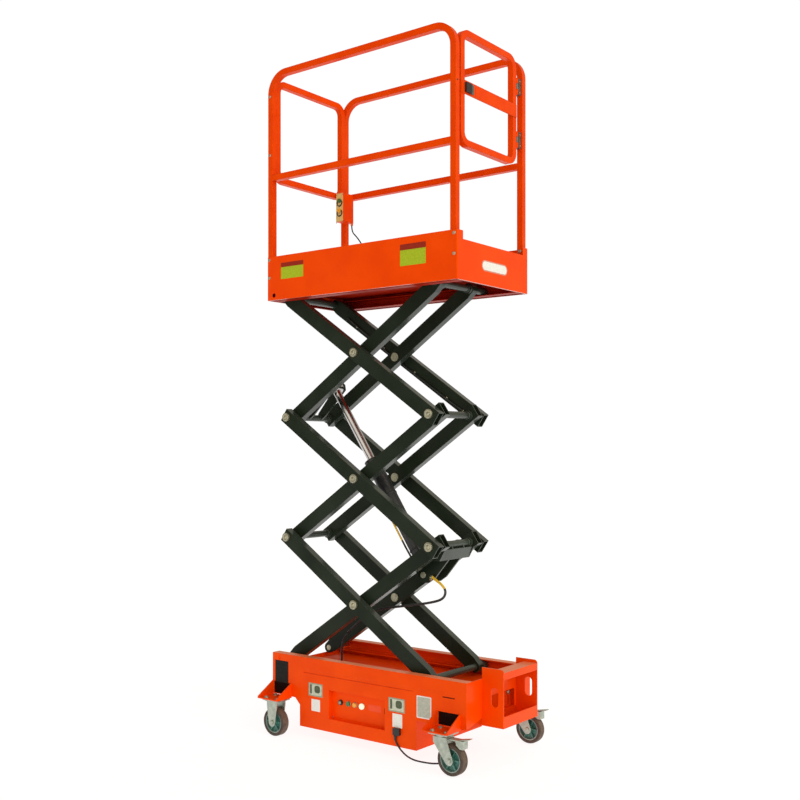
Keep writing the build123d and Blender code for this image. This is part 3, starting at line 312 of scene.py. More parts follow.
def make_materials():
    made = {}
    gold = (1.0, 0.82, 0.16)
    made["orange"] = surface(
        "orange_paint", (0.92, 0.064, 0.0), (0.86, 0.053, 0.0), 0.34, grain=7.0, specular=0.22, tint=gold,
        bump=0.10, bump_scale=420.0, bump_depth=0.0006, wear=(0.90, 0.16, 0.03),
    )
    made["orange_rail"] = surface(
        "orange_rail_paint", (0.84, 0.060, 0.0), (0.78, 0.048, 0.0), 0.30, grain=12.0, specular=0.10,
        tint=gold,
        bump=0.06, bump_scale=420.0, wear=(0.92, 0.20, 0.05), edge=0.005,
    )
    # Darker orange for faces under the deck and inside the skirt: painted shade.
    made["orange_painted_shade"] = surface(
        "orange_painted_shade_paint", (0.40, 0.012, 0.001), (0.30, 0.008, 0.001), 0.42, grain=11.0, bump=0.08,
        specular=0.06, tint=gold,
    )
    # Pale glossy orange for the skirt's folded foot: a painted highlight.
    made["orange_lip"] = surface(
        "orange_lip_painted_highlight_paint", (0.95, 0.42, 0.26), (0.90, 0.36, 0.20), 0.16, grain=11.0, coat=1.0, bump=0.03,
    )
    # Lighter orange for upward faces of the base rails and step: painted light from above.
    made["orange_top_painted_light"] = surface(
        "orange_top_painted_light_paint", (0.98, 0.27, 0.12), (0.94, 0.21, 0.08), 0.30, grain=9.0, specular=0.3, tint=gold,
    )
    # Darker orange: painted shade in the pocket low in the end wall, also the dark line of a plate seam.
    made["orange_wall"] = surface(
        "orange_shade_and_seam_paint", (0.68, 0.040, 0.0), (0.60, 0.030, 0.0), 0.38, grain=9.0, specular=0.15,
        tint=gold,
    )
    made["arm"] = surface(
        "arm_paint", (0.0195, 0.0275, 0.0170), (0.0110, 0.0170, 0.0095), 0.30, grain=5.0, specular=0.10,
        bump=0.10, bump_scale=500.0, wear=(0.060, 0.070, 0.058), edge=0.003,
    )
    # Lighter arm paint for faces that look up or down: a painted highlight.
    made["arm_edge"] = surface(
        "arm_painted_highlight_paint", (0.042, 0.054, 0.042), (0.028, 0.037, 0.028), 0.26, grain=9.0, specular=0.35,
        coat=0.2, bump=0.08, bump_scale=500.0, wear=(0.20, 0.22, 0.19), edge=0.003,
    )
    made["zinc"] = surface(
        "yellow_zinc", (0.46, 0.43, 0.30), (0.34, 0.33, 0.24), 0.36, metallic=0.8, grain=70.0,
        rough_spread=0.2, bump=0.15, wear=(0.70, 0.68, 0.60),
    )
    made["zinc_pale"] = surface(
        "pale_zinc", (0.50, 0.54, 0.46), (0.36, 0.40, 0.34), 0.38, metallic=0.8, grain=45.0,
        rough_spread=0.2, bump=0.15, wear=(0.72, 0.72, 0.66),
    )
    made["bright"] = surface(
        "ground_rod", (0.62, 0.60, 0.60), (0.50, 0.47, 0.48), 0.18, metallic=1.0, grain=5.0,
        rough_spread=0.06, bump=0.02, bump_scale=300.0,
    )
    made["dark_steel"] = surface(
        "dark_steel", (0.026, 0.027, 0.028), (0.014, 0.014, 0.015), 0.34, metallic=0.2, grain=30.0,
        wear=(0.14, 0.14, 0.14),
    )
    made["rubber"] = surface(
        "tyre_brown", (0.085, 0.052, 0.036), (0.050, 0.030, 0.022), 0.62, grain=55.0, grain_detail=6.0,
        bump=0.30, bump_scale=700.0, rough_spread=0.2, edge=0,
    )
    made["tread"] = surface(
        "tread_worn", (0.150, 0.105, 0.072), (0.080, 0.052, 0.036), 0.72, grain=38.0, grain_detail=7.0,
        bump=0.35, bump_scale=420.0, rough_spread=0.2, edge=0,
    )
    made["hub"] = surface(
        "hub_green", (0.060, 0.215, 0.175), (0.030, 0.120, 0.100), 0.38, grain=60.0, coat=0.2,
        wear=(0.25, 0.42, 0.36),
    )
    made["hub_rim"] = surface(
        "hub_rim", (0.33, 0.40, 0.36), (0.22, 0.30, 0.27), 0.36, metallic=0.5, grain=60.0,
    )
    made["black"] = surface(
        "black_plastic", (0.018, 0.018, 0.018), (0.011, 0.011, 0.012), 0.42, grain=80.0, bump=0.2,
        bump_scale=1600.0, bump_depth=0.0002,
    )
    made["cord"] = surface(
        "cord_rubber", (0.016, 0.016, 0.017), (0.009, 0.009, 0.010), 0.5, grain=120.0, bump=0.1, edge=0,
    )
    made["hose_yellow"] = surface(
        "hose_yellow", (0.80, 0.50, 0.02), (0.62, 0.36, 0.01), 0.45, grain=120.0, bump=0.1, edge=0,
    )
    made["green"] = surface(
        "button_green", (0.030, 0.200, 0.040), (0.018, 0.130, 0.026), 0.25, coat=0.5, grain=90.0,
    )
    made["yellow"] = surface(
        "button_yellow", (0.90, 0.42, 0.02), (0.80, 0.34, 0.01), 0.25, coat=0.5, grain=90.0,
    )
    made["lamp"] = lamp_material()
    made["cream"] = surface("box_cream", (0.74, 0.56, 0.20), (0.64, 0.46, 0.15), 0.4, grain=60.0)
    made["label_yellow"] = surface(
        "label_yellow", (0.42, 0.52, 0.018), (0.34, 0.44, 0.012), 0.42, grain=120.0, bump=0.05, edge=0,
        specular=0.2,
    )
    made["label_red"] = surface(
        "label_red", (0.33, 0.022, 0.006), (0.26, 0.016, 0.005), 0.42, grain=120.0, edge=0, specular=0.2,
    )
    made["label_white"] = surface(
        "label_white", (0.86, 0.85, 0.82), (0.78, 0.77, 0.73), 0.42, grain=120.0, bump=0.05, edge=0,
        specular=0.2,
    )
    made["label_grey"] = surface(
        "label_grey", (0.50, 0.50, 0.42), (0.40, 0.41, 0.35), 0.38, metallic=0.3, grain=90.0, edge=0,
        specular=0.2,
    )
    made["label_sage"] = surface(
        "label_sage", (0.36, 0.38, 0.26), (0.27, 0.30, 0.20), 0.42, grain=90.0, edge=0, specular=0.2,
    )
    made["label_pale"] = surface(
        "label_pale", (0.60, 0.62, 0.50), (0.50, 0.53, 0.42), 0.42, grain=90.0, edge=0, specular=0.2,
    )
    made["label_olive"] = surface(
        "label_olive", (0.105, 0.125, 0.070), (0.070, 0.090, 0.050), 0.42, grain=90.0, edge=0, specular=0.2,
    )
    made["label_edge"] = surface(
        "label_edge", (0.70, 0.30, 0.22), (0.62, 0.24, 0.17), 0.42, grain=90.0, edge=0,
    )
    made["label_socket"] = surface(
        "label_socket", (0.92, 0.105, 0.035), (0.90, 0.090, 0.028), 0.40, grain=90.0, edge=0, specular=0.1,
    )
    made["label_dark"] = surface(
        "label_dark", (0.014, 0.013, 0.010), (0.008, 0.007, 0.006), 0.4, grain=90.0, edge=0, specular=0.12,
    )
    # Near black: painted shade behind the side windows and in slits, also dark seam lines.
    made["dark_gap"] = surface(
        "dark_gap", (0.012, 0.003, 0.002), (0.006, 0.002, 0.001), 0.8, grain=60.0, edge=0, specular=0.1,
    )
    made["grey_hinge"] = surface(
        "hinge_grey", (0.125, 0.145, 0.128), (0.080, 0.095, 0.084), 0.34, metallic=0.3, grain=50.0,
        wear=(0.30, 0.32, 0.30),
    )
    return made


def lamp_material():
    material = surface("lamp_lens", (0.95, 0.86, 0.62), (0.92, 0.78, 0.50), 0.18, coat=0.6, grain=200.0)
    shader = material.node_tree.nodes["Principled BSDF"]
    shader.inputs["Emission Color"].default_value = (1.0, 0.86, 0.60, 1)
    shader.inputs["Emission Strength"].default_value = 0.6
    return material


def dress(node, *names):
    mesh = NODES[node].data
    mesh.materials.clear()
    for name in names:
        mesh.materials.append(MATERIALS[name])


def paint_faces(node, choose):
    """Gives each face of a node the material slot that choose(centre, normal) names."""
    for polygon in NODES[node].data.polygons:
        polygon.material_index = choose(polygon.center, polygon.normal)


def steel_slot(normal):
    """Arm faces that look up or down get the lighter arm paint as a painted highlight, the others the plain
    arm paint.
    """
    return 1 if abs(normal.z) > 0.4 else 0


def dress_nodes():
    for node in ("side_panel_near", "side_panel_far", "belly_tub", "caster_brackets"):
        dress(node, "orange")
    dress("base_frame", "orange", "zinc", "orange_wall", "orange_top_painted_light")
    paint_faces("base_frame", base_slot)
    # Upward step tops get the lighter orange, a painted highlight.
    dress("step_frame", "orange", "orange_top_painted_light")
    paint_faces("step_frame", lambda centre, normal: 1 if normal.z > 0.9 and centre.z > STEP_TOP_ABOVE else 0)
    dress("platform_skirt", "orange", "orange_painted_shade")
    paint_faces("platform_skirt", skirt_slot)
    # Faces of the deck that don't look up get the darker orange, painted shade.
    dress("platform_deck", "orange", "orange_painted_shade")
    paint_faces("platform_deck", lambda centre, normal: 0 if normal.z > 0.5 else 1)
    # The rails under the deck get the darker orange, painted shade; their pins are zinc.
    dress("platform_rails", "orange_painted_shade", "zinc")
    paint_faces("platform_rails", lambda centre, normal: 1 if near_pin(centre, PLATFORM_PIN_Z) else 0)
    for node in ("guard_rail_near", "guard_rail_far", "end_guard", "gate_frame"):
        dress(node, "orange_rail")
    dress("control_recess", "orange")
    for stage in "123":
        for pair in ("inner_arms_", "outer_arms_"):
            dress(pair + stage, "arm", "arm_edge")
            paint_faces(pair + stage, lambda centre, normal: steel_slot(normal))
    # Lugs, tubes and rollers: faces that don't look sideways get the lighter arm paint, a painted highlight.
    for node in (
        "lower_lugs", "upper_lugs", "middle_tubes", "upper_tie_tube", "base_rollers", "platform_rollers",
    ):
        dress(node, "arm", "arm_edge")
        paint_faces(node, lambda centre, normal: 0 if abs(normal.y) > 0.9 else 1)
    for node in ("pins_stage_1", "pins_stage_2", "pins_stage_3", "pins_links", "cylinder_pin"):
        dress(node, "zinc")
    for node in ("fixed_forks", "swivel_plates", "caster_fork_near", "caster_fork_far"):
        dress(node, "zinc_pale")
    dress("cylinder_barrel", "dark_steel")
    dress("cylinder_rod", "bright")
    dress("power_unit", "dark_steel")
    dress("power_inlet", "black")
    dress("mains_plug", "black")
    dress("gate_hinges", "grey_hinge")
    dress("gate_latch", "black")
    dress("control_box", "orange_rail", "cream", "black")
    paint_faces("control_box", lambda centre, normal: 1 if normal.y < -0.9 else 0)
    dress("control_box_buttons", "green", "yellow")
    middle = (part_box("control_box_buttons")[0].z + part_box("control_box_buttons")[1].z) / 2
    paint_faces("control_box_buttons", lambda centre, normal: 0 if centre.z > middle else 1)
    dress("panel_controls", "dark_steel", "green", "yellow", "lamp")
    paint_faces(
        "panel_controls", lambda centre, normal: sum(centre.x > edge for edge in CONTROL_EDGES),
    )
    for wheel in WHEELS:
        dress("hub_" + wheel, "hub", "hub_rim")
        low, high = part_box("hub_" + wheel)
        axle = (low + high) / 2
        paint_faces(
            "hub_" + wheel,
            lambda centre, normal: 1 if math.hypot(centre.x - axle.x,
            centre.z - axle.z) > HUB_RIM_RADIUS else 0,
        )


def near_pin(centre, height):
    """Whether a face belongs to the pin that stands inside a rail."""
    return math.hypot(centre.x - PIN_X, centre.z - height) < 0.0145 and abs(centre.y) < RAIL_INSIDE


def base_slot(centre, normal):
    if near_pin(centre, PIN_Z):
        return 1
    # Upward faces on top of the rails get the lighter orange, a painted highlight.
    if normal.z > 0.9 and centre.z > RAIL_TOP - 0.002:
        return 3
    # Faces in the pocket low in the end wall get the darker orange, painted shade.
    if centre.x > BASE_RIGHT - 0.030 and abs(centre.y) < 0.134 and centre.z < TRAY_FLOOR - 0.006:
        return 2
    return 0


def skirt_slot(centre, normal):
    """The inner faces below the deck and the lip's underside get the darker orange, painted for the deep
    shade they are in.
    """
    if centre.z < SKIRT_BOTTOM + 0.004 and normal.z < -0.5:
        return 1
    inward = abs(centre.y) < 0.2985 and PLATFORM_LOW.x + 0.0015 < centre.x < PLATFORM_HIGH.x - 0.0015
    return 1 if inward and centre.z < DECK_TOP - 0.003 else 0


# Small pieces


def add(name, mesh, material, body):
    piece = bpy.data.objects.new(name, mesh)
    bpy.context.scene.collection.objects.link(piece)
    names = [material] if isinstance(material, str) else material
    for one in names:
        mesh.materials.append(MATERIALS[one])
    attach(piece, body)
    return piece


def mesh_from(name, parts):
    """One mesh from several bmesh builders, each called with the shared bmesh."""
    shared = bmesh.new()
    for build in parts:
        build(shared)
    mesh = bpy.data.meshes.new(name)
    shared.to_mesh(mesh)
    shared.free()
    return mesh


def facing(normal):
    """The turn that takes +Z to normal."""
    return Vector(normal).to_track_quat("Z", "Y").to_matrix().to_4x4()


def turned(profile, segments, at, normal, slot=0, smooth=True):
    """A builder of a closed shape of revolution from (radius, height) points, standing on at along normal."""

    def build(shared):
        place = Matrix.Translation(at) @ facing(normal)
        rings = []
        for radius, height in profile:
            if radius == 0:
                rings.append([shared.verts.new(place @ Vector((0, 0, height)))])
                continue
            angles = [2 * math.pi * k / segments for k in range(segments)]
            rings.append(
                [
                    shared.verts.new(place @ Vector((radius * math.cos(a), radius * math.sin(a), height)))
                    for a in angles
                ]
            )
        for lower, upper in zip(rings, rings[1:]):
            for k in range(segments):
                after = (k + 1) % segments
                corners = [
                    lower[k % len(lower)], lower[after % len(lower)], upper[after % len(upper)],
                    upper[k % len(upper)],
                ]
                face = shared.faces.new(list(dict.fromkeys(corners)))
                face.smooth = smooth
                face.material_index = slot

    return build


def hex_bolt(at, normal, size=0.007, washer=True):
    """Builders of a hex head on a washer."""
    parts = []
    base = 0.0
    if washer:
        parts.append(
            turned(
                [(0, 0), (size * 1.5, 0), (size * 1.5, 0.0013), (size * 1.35, 0.0016), (0, 0.0016)], 20, at,
                normal,
            )
        )
        base = 0.0016
    head = [
        (0, base), (size, base), (size, base + size * 0.62), (size * 0.86, base + size * 0.75),
        (0, base + size * 0.75),
    ]
    parts.append(turned(head, 6, at, normal, smooth=False))
    return parts


def dome_bolt(at, normal, size=0.009):
    profile = [
        (0, 0), (size, 0), (size * 0.97, size * 0.18), (size * 0.72, size * 0.42), (size * 0.4, size * 0.52),
    ]
    profile += [(size * 0.36, size * 0.38), (0, size * 0.38)]
    return [turned(profile, 20, at, normal)]


def plate(corners, normal, thickness, slot=0):
    """A builder of a thin plate over a closed outline, with its front standing off along normal."""

    def build(shared):
        up = Vector(normal).normalized() * thickness
        back = [shared.verts.new(Vector(c)) for c in corners]
        front = [shared.verts.new(Vector(c) + up) for c in corners]
        faces = [shared.faces.new(list(reversed(back))), shared.faces.new(front)]
        for k in range(len(corners)):
            after = (k + 1) % len(corners)
            faces.append(shared.faces.new([back[k], back[after], front[after], front[k]]))
        for face in faces:
            face.material_index = slot

    return build


def rounded_rectangle(centre, width, height, across, up, radius, steps=4):
    centre, across, up = Vector(centre), Vector(across), Vector(up)
    points = []
    for quarter, (sx, sy) in enumerate(((1, 1), (-1, 1), (-1, -1), (1, -1))):
        corner = centre + across * sx * (width / 2 - radius) + up * sy * (height / 2 - radius)
        for k in range(steps + 1):
            angle = math.pi / 2 * (quarter + k / steps)
            points.append(corner + (across * math.cos(angle) + up * math.sin(angle)) * radius)
    return points


def smooth_line(points, resolution=8):
    """The points of a NURBS line with these control points, as Blender draws it."""
    curve = bpy.data.curves.new("line", "CURVE")
    curve.dimensions = "3D"
    curve.resolution_u = resolution
    spline = curve.splines.new("NURBS")
    spline.points.add(len(points) - 1)
    for point, place in zip(spline.points, points):
        point.co = (*place, 1)
    spline.order_u = 3
    spline.use_endpoint_u = True
    holder = bpy.data.objects.new("line", curve)
    bpy.context.scene.collection.objects.link(holder)
    mesh = bpy.data.meshes.new_from_object(holder)
    line = [vertex.co.copy() for vertex in mesh.vertices]
    bpy.data.objects.remove(holder)
    bpy.data.curves.remove(curve)
    bpy.data.meshes.remove(mesh)
    return line


def tube(line, radius, sides=12, slot_at=None):
    """A builder of a closed tube round a line, with its own slot for each stretch if slot_at says so."""

    def build(shared):
        ahead = (line[1] - line[0]).normalized()
        side = ahead.orthogonal().normalized()
        rings = []
        for k, point in enumerate(line):
            before, after = line[max(k - 1, 0)], line[min(k + 1, len(line) - 1)]
            turn = ahead.rotation_difference((after - before).normalized())
            ahead = turn @ ahead
            side = (turn @ side).normalized()
            across = ahead.cross(side)
            angles = [2 * math.pi * n / sides for n in range(sides)]
            rings.append(
                [
                    shared.verts.new(point + (side * math.cos(a) + across * math.sin(a)) * radius)
                    for a in angles
                ]
            )
        shared.faces.new(list(reversed(rings[0])))
        shared.faces.new(rings[-1])
        for k, (first, second) in enumerate(zip(rings, rings[1:])):
            for n in range(sides):
                after = (n + 1) % sides
                face = shared.faces.new([first[n], first[after], second[after], second[n]])
                face.smooth = True
                if slot_at:
                    face.material_index = slot_at(k / len(rings))

    return build


def hose(name, points, radius, material, body, sides=12, resolution=8, slot_at=None):
    """A smooth tube through a route, and the line that it follows."""
    line = smooth_line(points, resolution)
    piece = add(name, mesh_from(name, [tube(line, radius, sides, slot_at)]), material, body)
    return piece, line


# Cords


def coil_points():
    """The put-away turns of the mains cord, wound from outside in and back out on top."""
    before, end = Vector(MAINS_ROUTE[-2]), Vector(MAINS_ROUTE[-1])
    way = (end - before).normalized()
    touch = end + way * 0.040
    centre = touch + Vector((-way.y, way.x, 0)) * 0.044
    start = math.atan2(touch.y - centre.y, touch.x - centre.x) - math.radians(12)
    turns = [(0.052, 0.004), (0.0435, 0.004), (0.0352, 0.004), (0.0395, 0.0112), (0.0478, 0.0112)]
    last = math.radians(90 + 360 * len(turns)) - 2 * math.pi
    steps = 16 * (len(turns) - 1) + 12
    points = []
    for k in range(steps + 1):
        share = k / steps
        angle = start + (last - start) * share
        turn = min(share * len(turns), len(turns) - 1e-6)
        index = int(turn)
        ease = max(0.0, (turn - index - 0.75) / 0.25)
        ease = ease * ease * (3 - 2 * ease)
        now, after = turns[index], turns[min(index + 1, len(turns) - 1)]
        radius = now[0] + (after[0] - now[0]) * ease
        height = now[1] + (after[1] - now[1]) * ease
        points.append((centre.x + radius * math.cos(angle), centre.y + radius * math.sin(angle), height))
    return centre, points


def make_cords():
    centre, turns = coil_points()
    exit_x = centre.x - 0.044
    tail = [(centre.x - 0.022, centre.y + 0.0455, 0.0118), (exit_x, centre.y + 0.044, 0.012)]
    cord, line = hose("mains_cord_line", MAINS_ROUTE + turns + tail, 0.004, "cord", "base", 10, 5)
    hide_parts("mains_cord", "mains_coil")
    relief = mesh_from("mains_relief", [
        turned([(0, 0), (0.0085, 0), (0.0085, 0.003), (0.0078, 0.004), (0.0078, 0.008), (0.0070, 0.009),
                (0.0070, 0.013), (0.0062, 0.014), (0.0062, 0.018), (0.0054, 0.019), (0.0052, 0.025), (0,
                0.025)],
               20, MAINS_ROUTE[0], (0, 0, -1)),
    ])
    relief = add("mains_relief", relief, "black", "base")
    tie = [(centre.x + 0.0435 + 0.013 * math.cos(a), centre.y, 0.0085 + 0.011 * math.sin(a))
           for a in [2 * math.pi * k / 12 for k in range(13)]]
    band = hose("coil_tie", [(x, y, max(z, 0.0022)) for x, y, z in tie], 0.0012, "black", "base", 8, 4)[0]

    box_cord, line = hose("box_cord_line", BOX_CORD_ROUTE, 0.0035, "cord", "platform")
    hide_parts("box_cord")

    tray, line = hose("tray_hose_line", TRAY_HOSE_ROUTE, 0.005, "cord", "base")
    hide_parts("tray_hose")


# Wheels


def make_tyres():
    for wheel in WHEELS:
        low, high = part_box("tyre_" + wheel)
        centre = (low + high) / 2
        half, outer, bore = (high.y - low.y) / 2, (high.z - low.z) / 2, 0.055
        side = [(bore, half), (0.0595, half), (0.0605, half - 0.0012), (0.0625, half - 0.0012), (0.0635,
        half - 0.0004),
                (outer - 0.0035, half - 0.0020), (outer - 0.0008, half - 0.0055)]
        crown = [
            (outer, half - 0.010), (outer, 0.0085), (outer - 0.0012, 0.0078), (outer - 0.0012, 0.0066),
            (outer, 0.0059),
        ]
        right = side + crown
        left = [(radius, -height) for radius, height in reversed(right)]
        profile = right + left
        place = Vector((centre.x, centre.y, centre.z))
        parts = [
            turned(profile[:7], 48, place, (0, -1, 0)),
            turned(profile[6:18], 48, place, (0, -1, 0), slot=1),
            turned(profile[17:], 48, place, (0, -1, 0)),
            turned([profile[-1], profile[0]], 48, place, (0, -1, 0)),
        ]
        mesh = mesh_from("tread_" + wheel, parts)
        weld(mesh)
        tyre = add("tread_" + wheel, mesh, ["rubber", "tread"], "wheel_" + wheel)
        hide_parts("tyre_" + wheel)


def weld(mesh):
    shared = bmesh.new()
    shared.from_mesh(mesh)
    bmesh.ops.remove_doubles(shared, verts=shared.verts, dist=1e-6)
    bmesh.ops.recalc_face_normals(shared, faces=shared.faces)
    shared.to_mesh(mesh)
    shared.free()


# Fasteners


def pin_cap(x, z, side):
    """The turned ring and the centre of a pin head."""
    profile = [(0, 0), (0.0195, 0), (0.0195, 0.0010), (0.0180, 0.0018), (0.0125, 0.0018), (0.0115, 0.0006),
               (0.0075, 0.0006), (0.0075, 0.0022), (0.0060, 0.0028), (0, 0.0028)]
    return turned(profile, 28, (x, side * PIN_HEAD_Y, z), (0, side, 0))


def make_pin_caps():
    level = [PIN_Z + step * RISE / 2 for step in range(7)]
    pins = {
        "inner_1": [(MIDDLE_X, level[1]), (NODE_X, level[2])],
        "outer_2": [(MIDDLE_X, level[3]), (PIN_X, level[4])],
        "inner_2": [(PIN_X, level[2]), (NODE_X, level[4])],
        "inner_3": [(MIDDLE_X, level[5])],
    }
    for body, places in pins.items():
        caps = [pin_cap(x, z, side) for x, z in places for side in (-1, 1)]
        add("pin_caps_" + body, mesh_from("pin_caps_" + body, caps), "zinc", body)


def make_bolts():
    skirt, posts, brackets = [], [], []
    for side in (-1, 1):
        for x in (POST_LEFT_X - 0.004, POST_RIGHT_X + 0.008):
            for z in (2.296, 2.387):
                skirt += dome_bolt((x, side * 0.300, z), (0, side, 0), 0.0085)
        for z in (2.918, 3.215):
            posts += dome_bolt((POST_LEFT_X - 0.003, side * 0.297, z), (0, side, 0), 0.0075)
            posts += hex_bolt((POST_LEFT_X, side * POST_FACE, z - 0.02), (0, -side, 0), 0.0058)
        for x in (POST_LEFT_X, POST_RIGHT_X):
            posts += hex_bolt((x, side * POST_FACE, 2.387), (0, -side, 0), 0.0065)
            posts += hex_bolt((x, side * POST_FACE, 2.296), (0, -side, 0), 0.0065)
        for x in (-0.565, 0.459):
            for dx in (-0.037, 0.037):
                for dy in (-0.031, 0.031):
                    brackets += hex_bolt((x + dx, side * 0.330 + dy, 0.190), (0, 0, 1), 0.0085)
                    brackets += hex_bolt((x + dx, side * 0.330 + dy, 0.178), (0, 0, -1), 0.0065, washer=False)
    add("skirt_bolts", mesh_from("skirt_bolts", skirt), "zinc", "platform")
    add("post_bolts", mesh_from("post_bolts", posts), "zinc", "platform")
    add("bracket_bolts", mesh_from("bracket_bolts", brackets), "zinc", "base")


def bead(at, normal, radius):
    """A fillet weld round a tube."""
    profile = [
        (radius, 0), (radius + 0.0040, 0.0002), (radius + 0.0034, 0.0022), (radius + 0.0016, 0.0036),
        (radius - 0.0002, 0.0042),
    ]
    return turned(profile, 24, at, normal)


def make_welds():
    tubes = {
        "inner_1": [(NODE_X, PIN_Z + RISE)],
        "inner_2": [(PIN_X, PIN_Z + RISE), (NODE_X, PIN_Z + 2 * RISE)],
        "inner_3": [(PIN_X, PIN_Z + 2 * RISE), (NODE_X, PIN_Z + 3 * RISE)],
    }
    for body, places in tubes.items():
        # The beads take the lighter arm paint, a painted highlight.
        beads = [bead((x, side * 0.102, z), (0, -side, 0), 0.017) for x, z in places for side in (-1, 1)]
        add("weld_beads_" + body, mesh_from("weld_beads_" + body, beads), "arm_edge", body)


# Plates and signs, all blank


def upright(x0, x1, z0, z1, y, radius=0.002):
    """The outline of a sign on a wall that faces -Y."""
    centre = ((x0 + x1) / 2, y, (z0 + z1) / 2)
    return rounded_rectangle(centre, x1 - x0, z1 - z0, (1, 0, 0), (0, 0, 1), radius)


def sign(name, body, *layers):
    """A flat sign of stacked layers, each an outline with its material, a little proud of the last."""
    parts, names = [], []
    for k, (outline, material) in enumerate(layers):
        if material not in names:
            names.append(material)
        height = 0.0006 + 0.0003 * k
        parts.append(plate(outline, (0, -1, 0), height, names.index(material)))
    add(name, mesh_from(name, parts), names, body)


def make_signs():
    skirt, panel = -0.300, PANEL_Y
    for name, x0, x1, z0, z1 in (
        ("skirt_sign_left", -0.5605, -0.4090, 2.2832, 2.3640),
        ("skirt_sign_right", 0.1945, 0.3407, 2.2687, 2.3674),
    ):
        header = z1 - (z1 - z0) * 0.27
        sign(
            name, "platform",
            (upright(x0, x1, z0, z1, skirt, 0.003), "label_yellow"),
            (upright(x0, x1, header, z1, skirt, 0.003), "label_red"),
        )
    sign("black_plate", "base", (upright(-0.6270, -0.5370, 0.252, 0.362, panel), "label_dark"))
    # A near-black strip stands for the shade in a slit.
    sign("near_slit", "base", (upright(0.4147, 0.4800, 0.3190, 0.3230, panel, 0.0008), "dark_gap"))
    for name, x0, z0, x1, z1 in (
        ("warning_left", -0.3985, 0.2128, -0.3065, 0.2776),
        ("warning_right", 0.1050, 0.2125, 0.2003, 0.2772),
    ):
        frame_in = 0.006
        middle = (z0 + z1) / 2
        sign(
            name, "base",
            (upright(x0, x1, z0, z1, panel), "label_sage"),
            (upright(x0 + frame_in, x1 - frame_in, z0 + frame_in, z1 - frame_in, panel), "label_pale"),
            (
                upright(x0 + frame_in + 0.004, x0 + frame_in + 0.016, z0 + 0.012, z1 - 0.008, panel, 0.001),
                "label_olive",
            ),
            (
                rounded_rectangle(
                    (x1 - 0.034, panel, middle + 0.004), 0.036, 0.036, (1, 0, 0), (0, 0, 1), 0.012,
                ),
                "label_olive",
            ),
        )
    for name, x0, z0, x1, z1 in (
        ("white_left", -0.3795, 0.1405, -0.3230, 0.1990),
        ("white_right", 0.1286, 0.1416, 0.1855, 0.2050),
    ):
        sign(name, "base", (upright(x0, x1, z0, z1, panel), "label_white"))
    sign(
        "grey_nameplate", "base",
        (upright(0.2690, 0.3510, 0.2065, 0.3080, panel, 0.004), "label_white"),
        (upright(0.2735, 0.3465, 0.2115, 0.3030, panel, 0.003), "label_grey"),
    )
    oval = rounded_rectangle(
        (PLATFORM_HIGH.x, 0.0035, 2.2690), 0.216, 0.0500, (0, 1, 0), (0, 0, 1), 0.0249, 8,
    )
    inner = rounded_rectangle(
        (PLATFORM_HIGH.x, 0.0035, 2.2690), 0.204, 0.0390, (0, 1, 0), (0, 0, 1), 0.0194, 8,
    )
    parts = [plate(oval, (1, 0, 0), 0.0007), plate(inner, (1, 0, 0), 0.0010, 1)]
    add("oval_sign", mesh_from("oval_sign", parts), ["label_edge", "label_white"], "platform")


# Base details


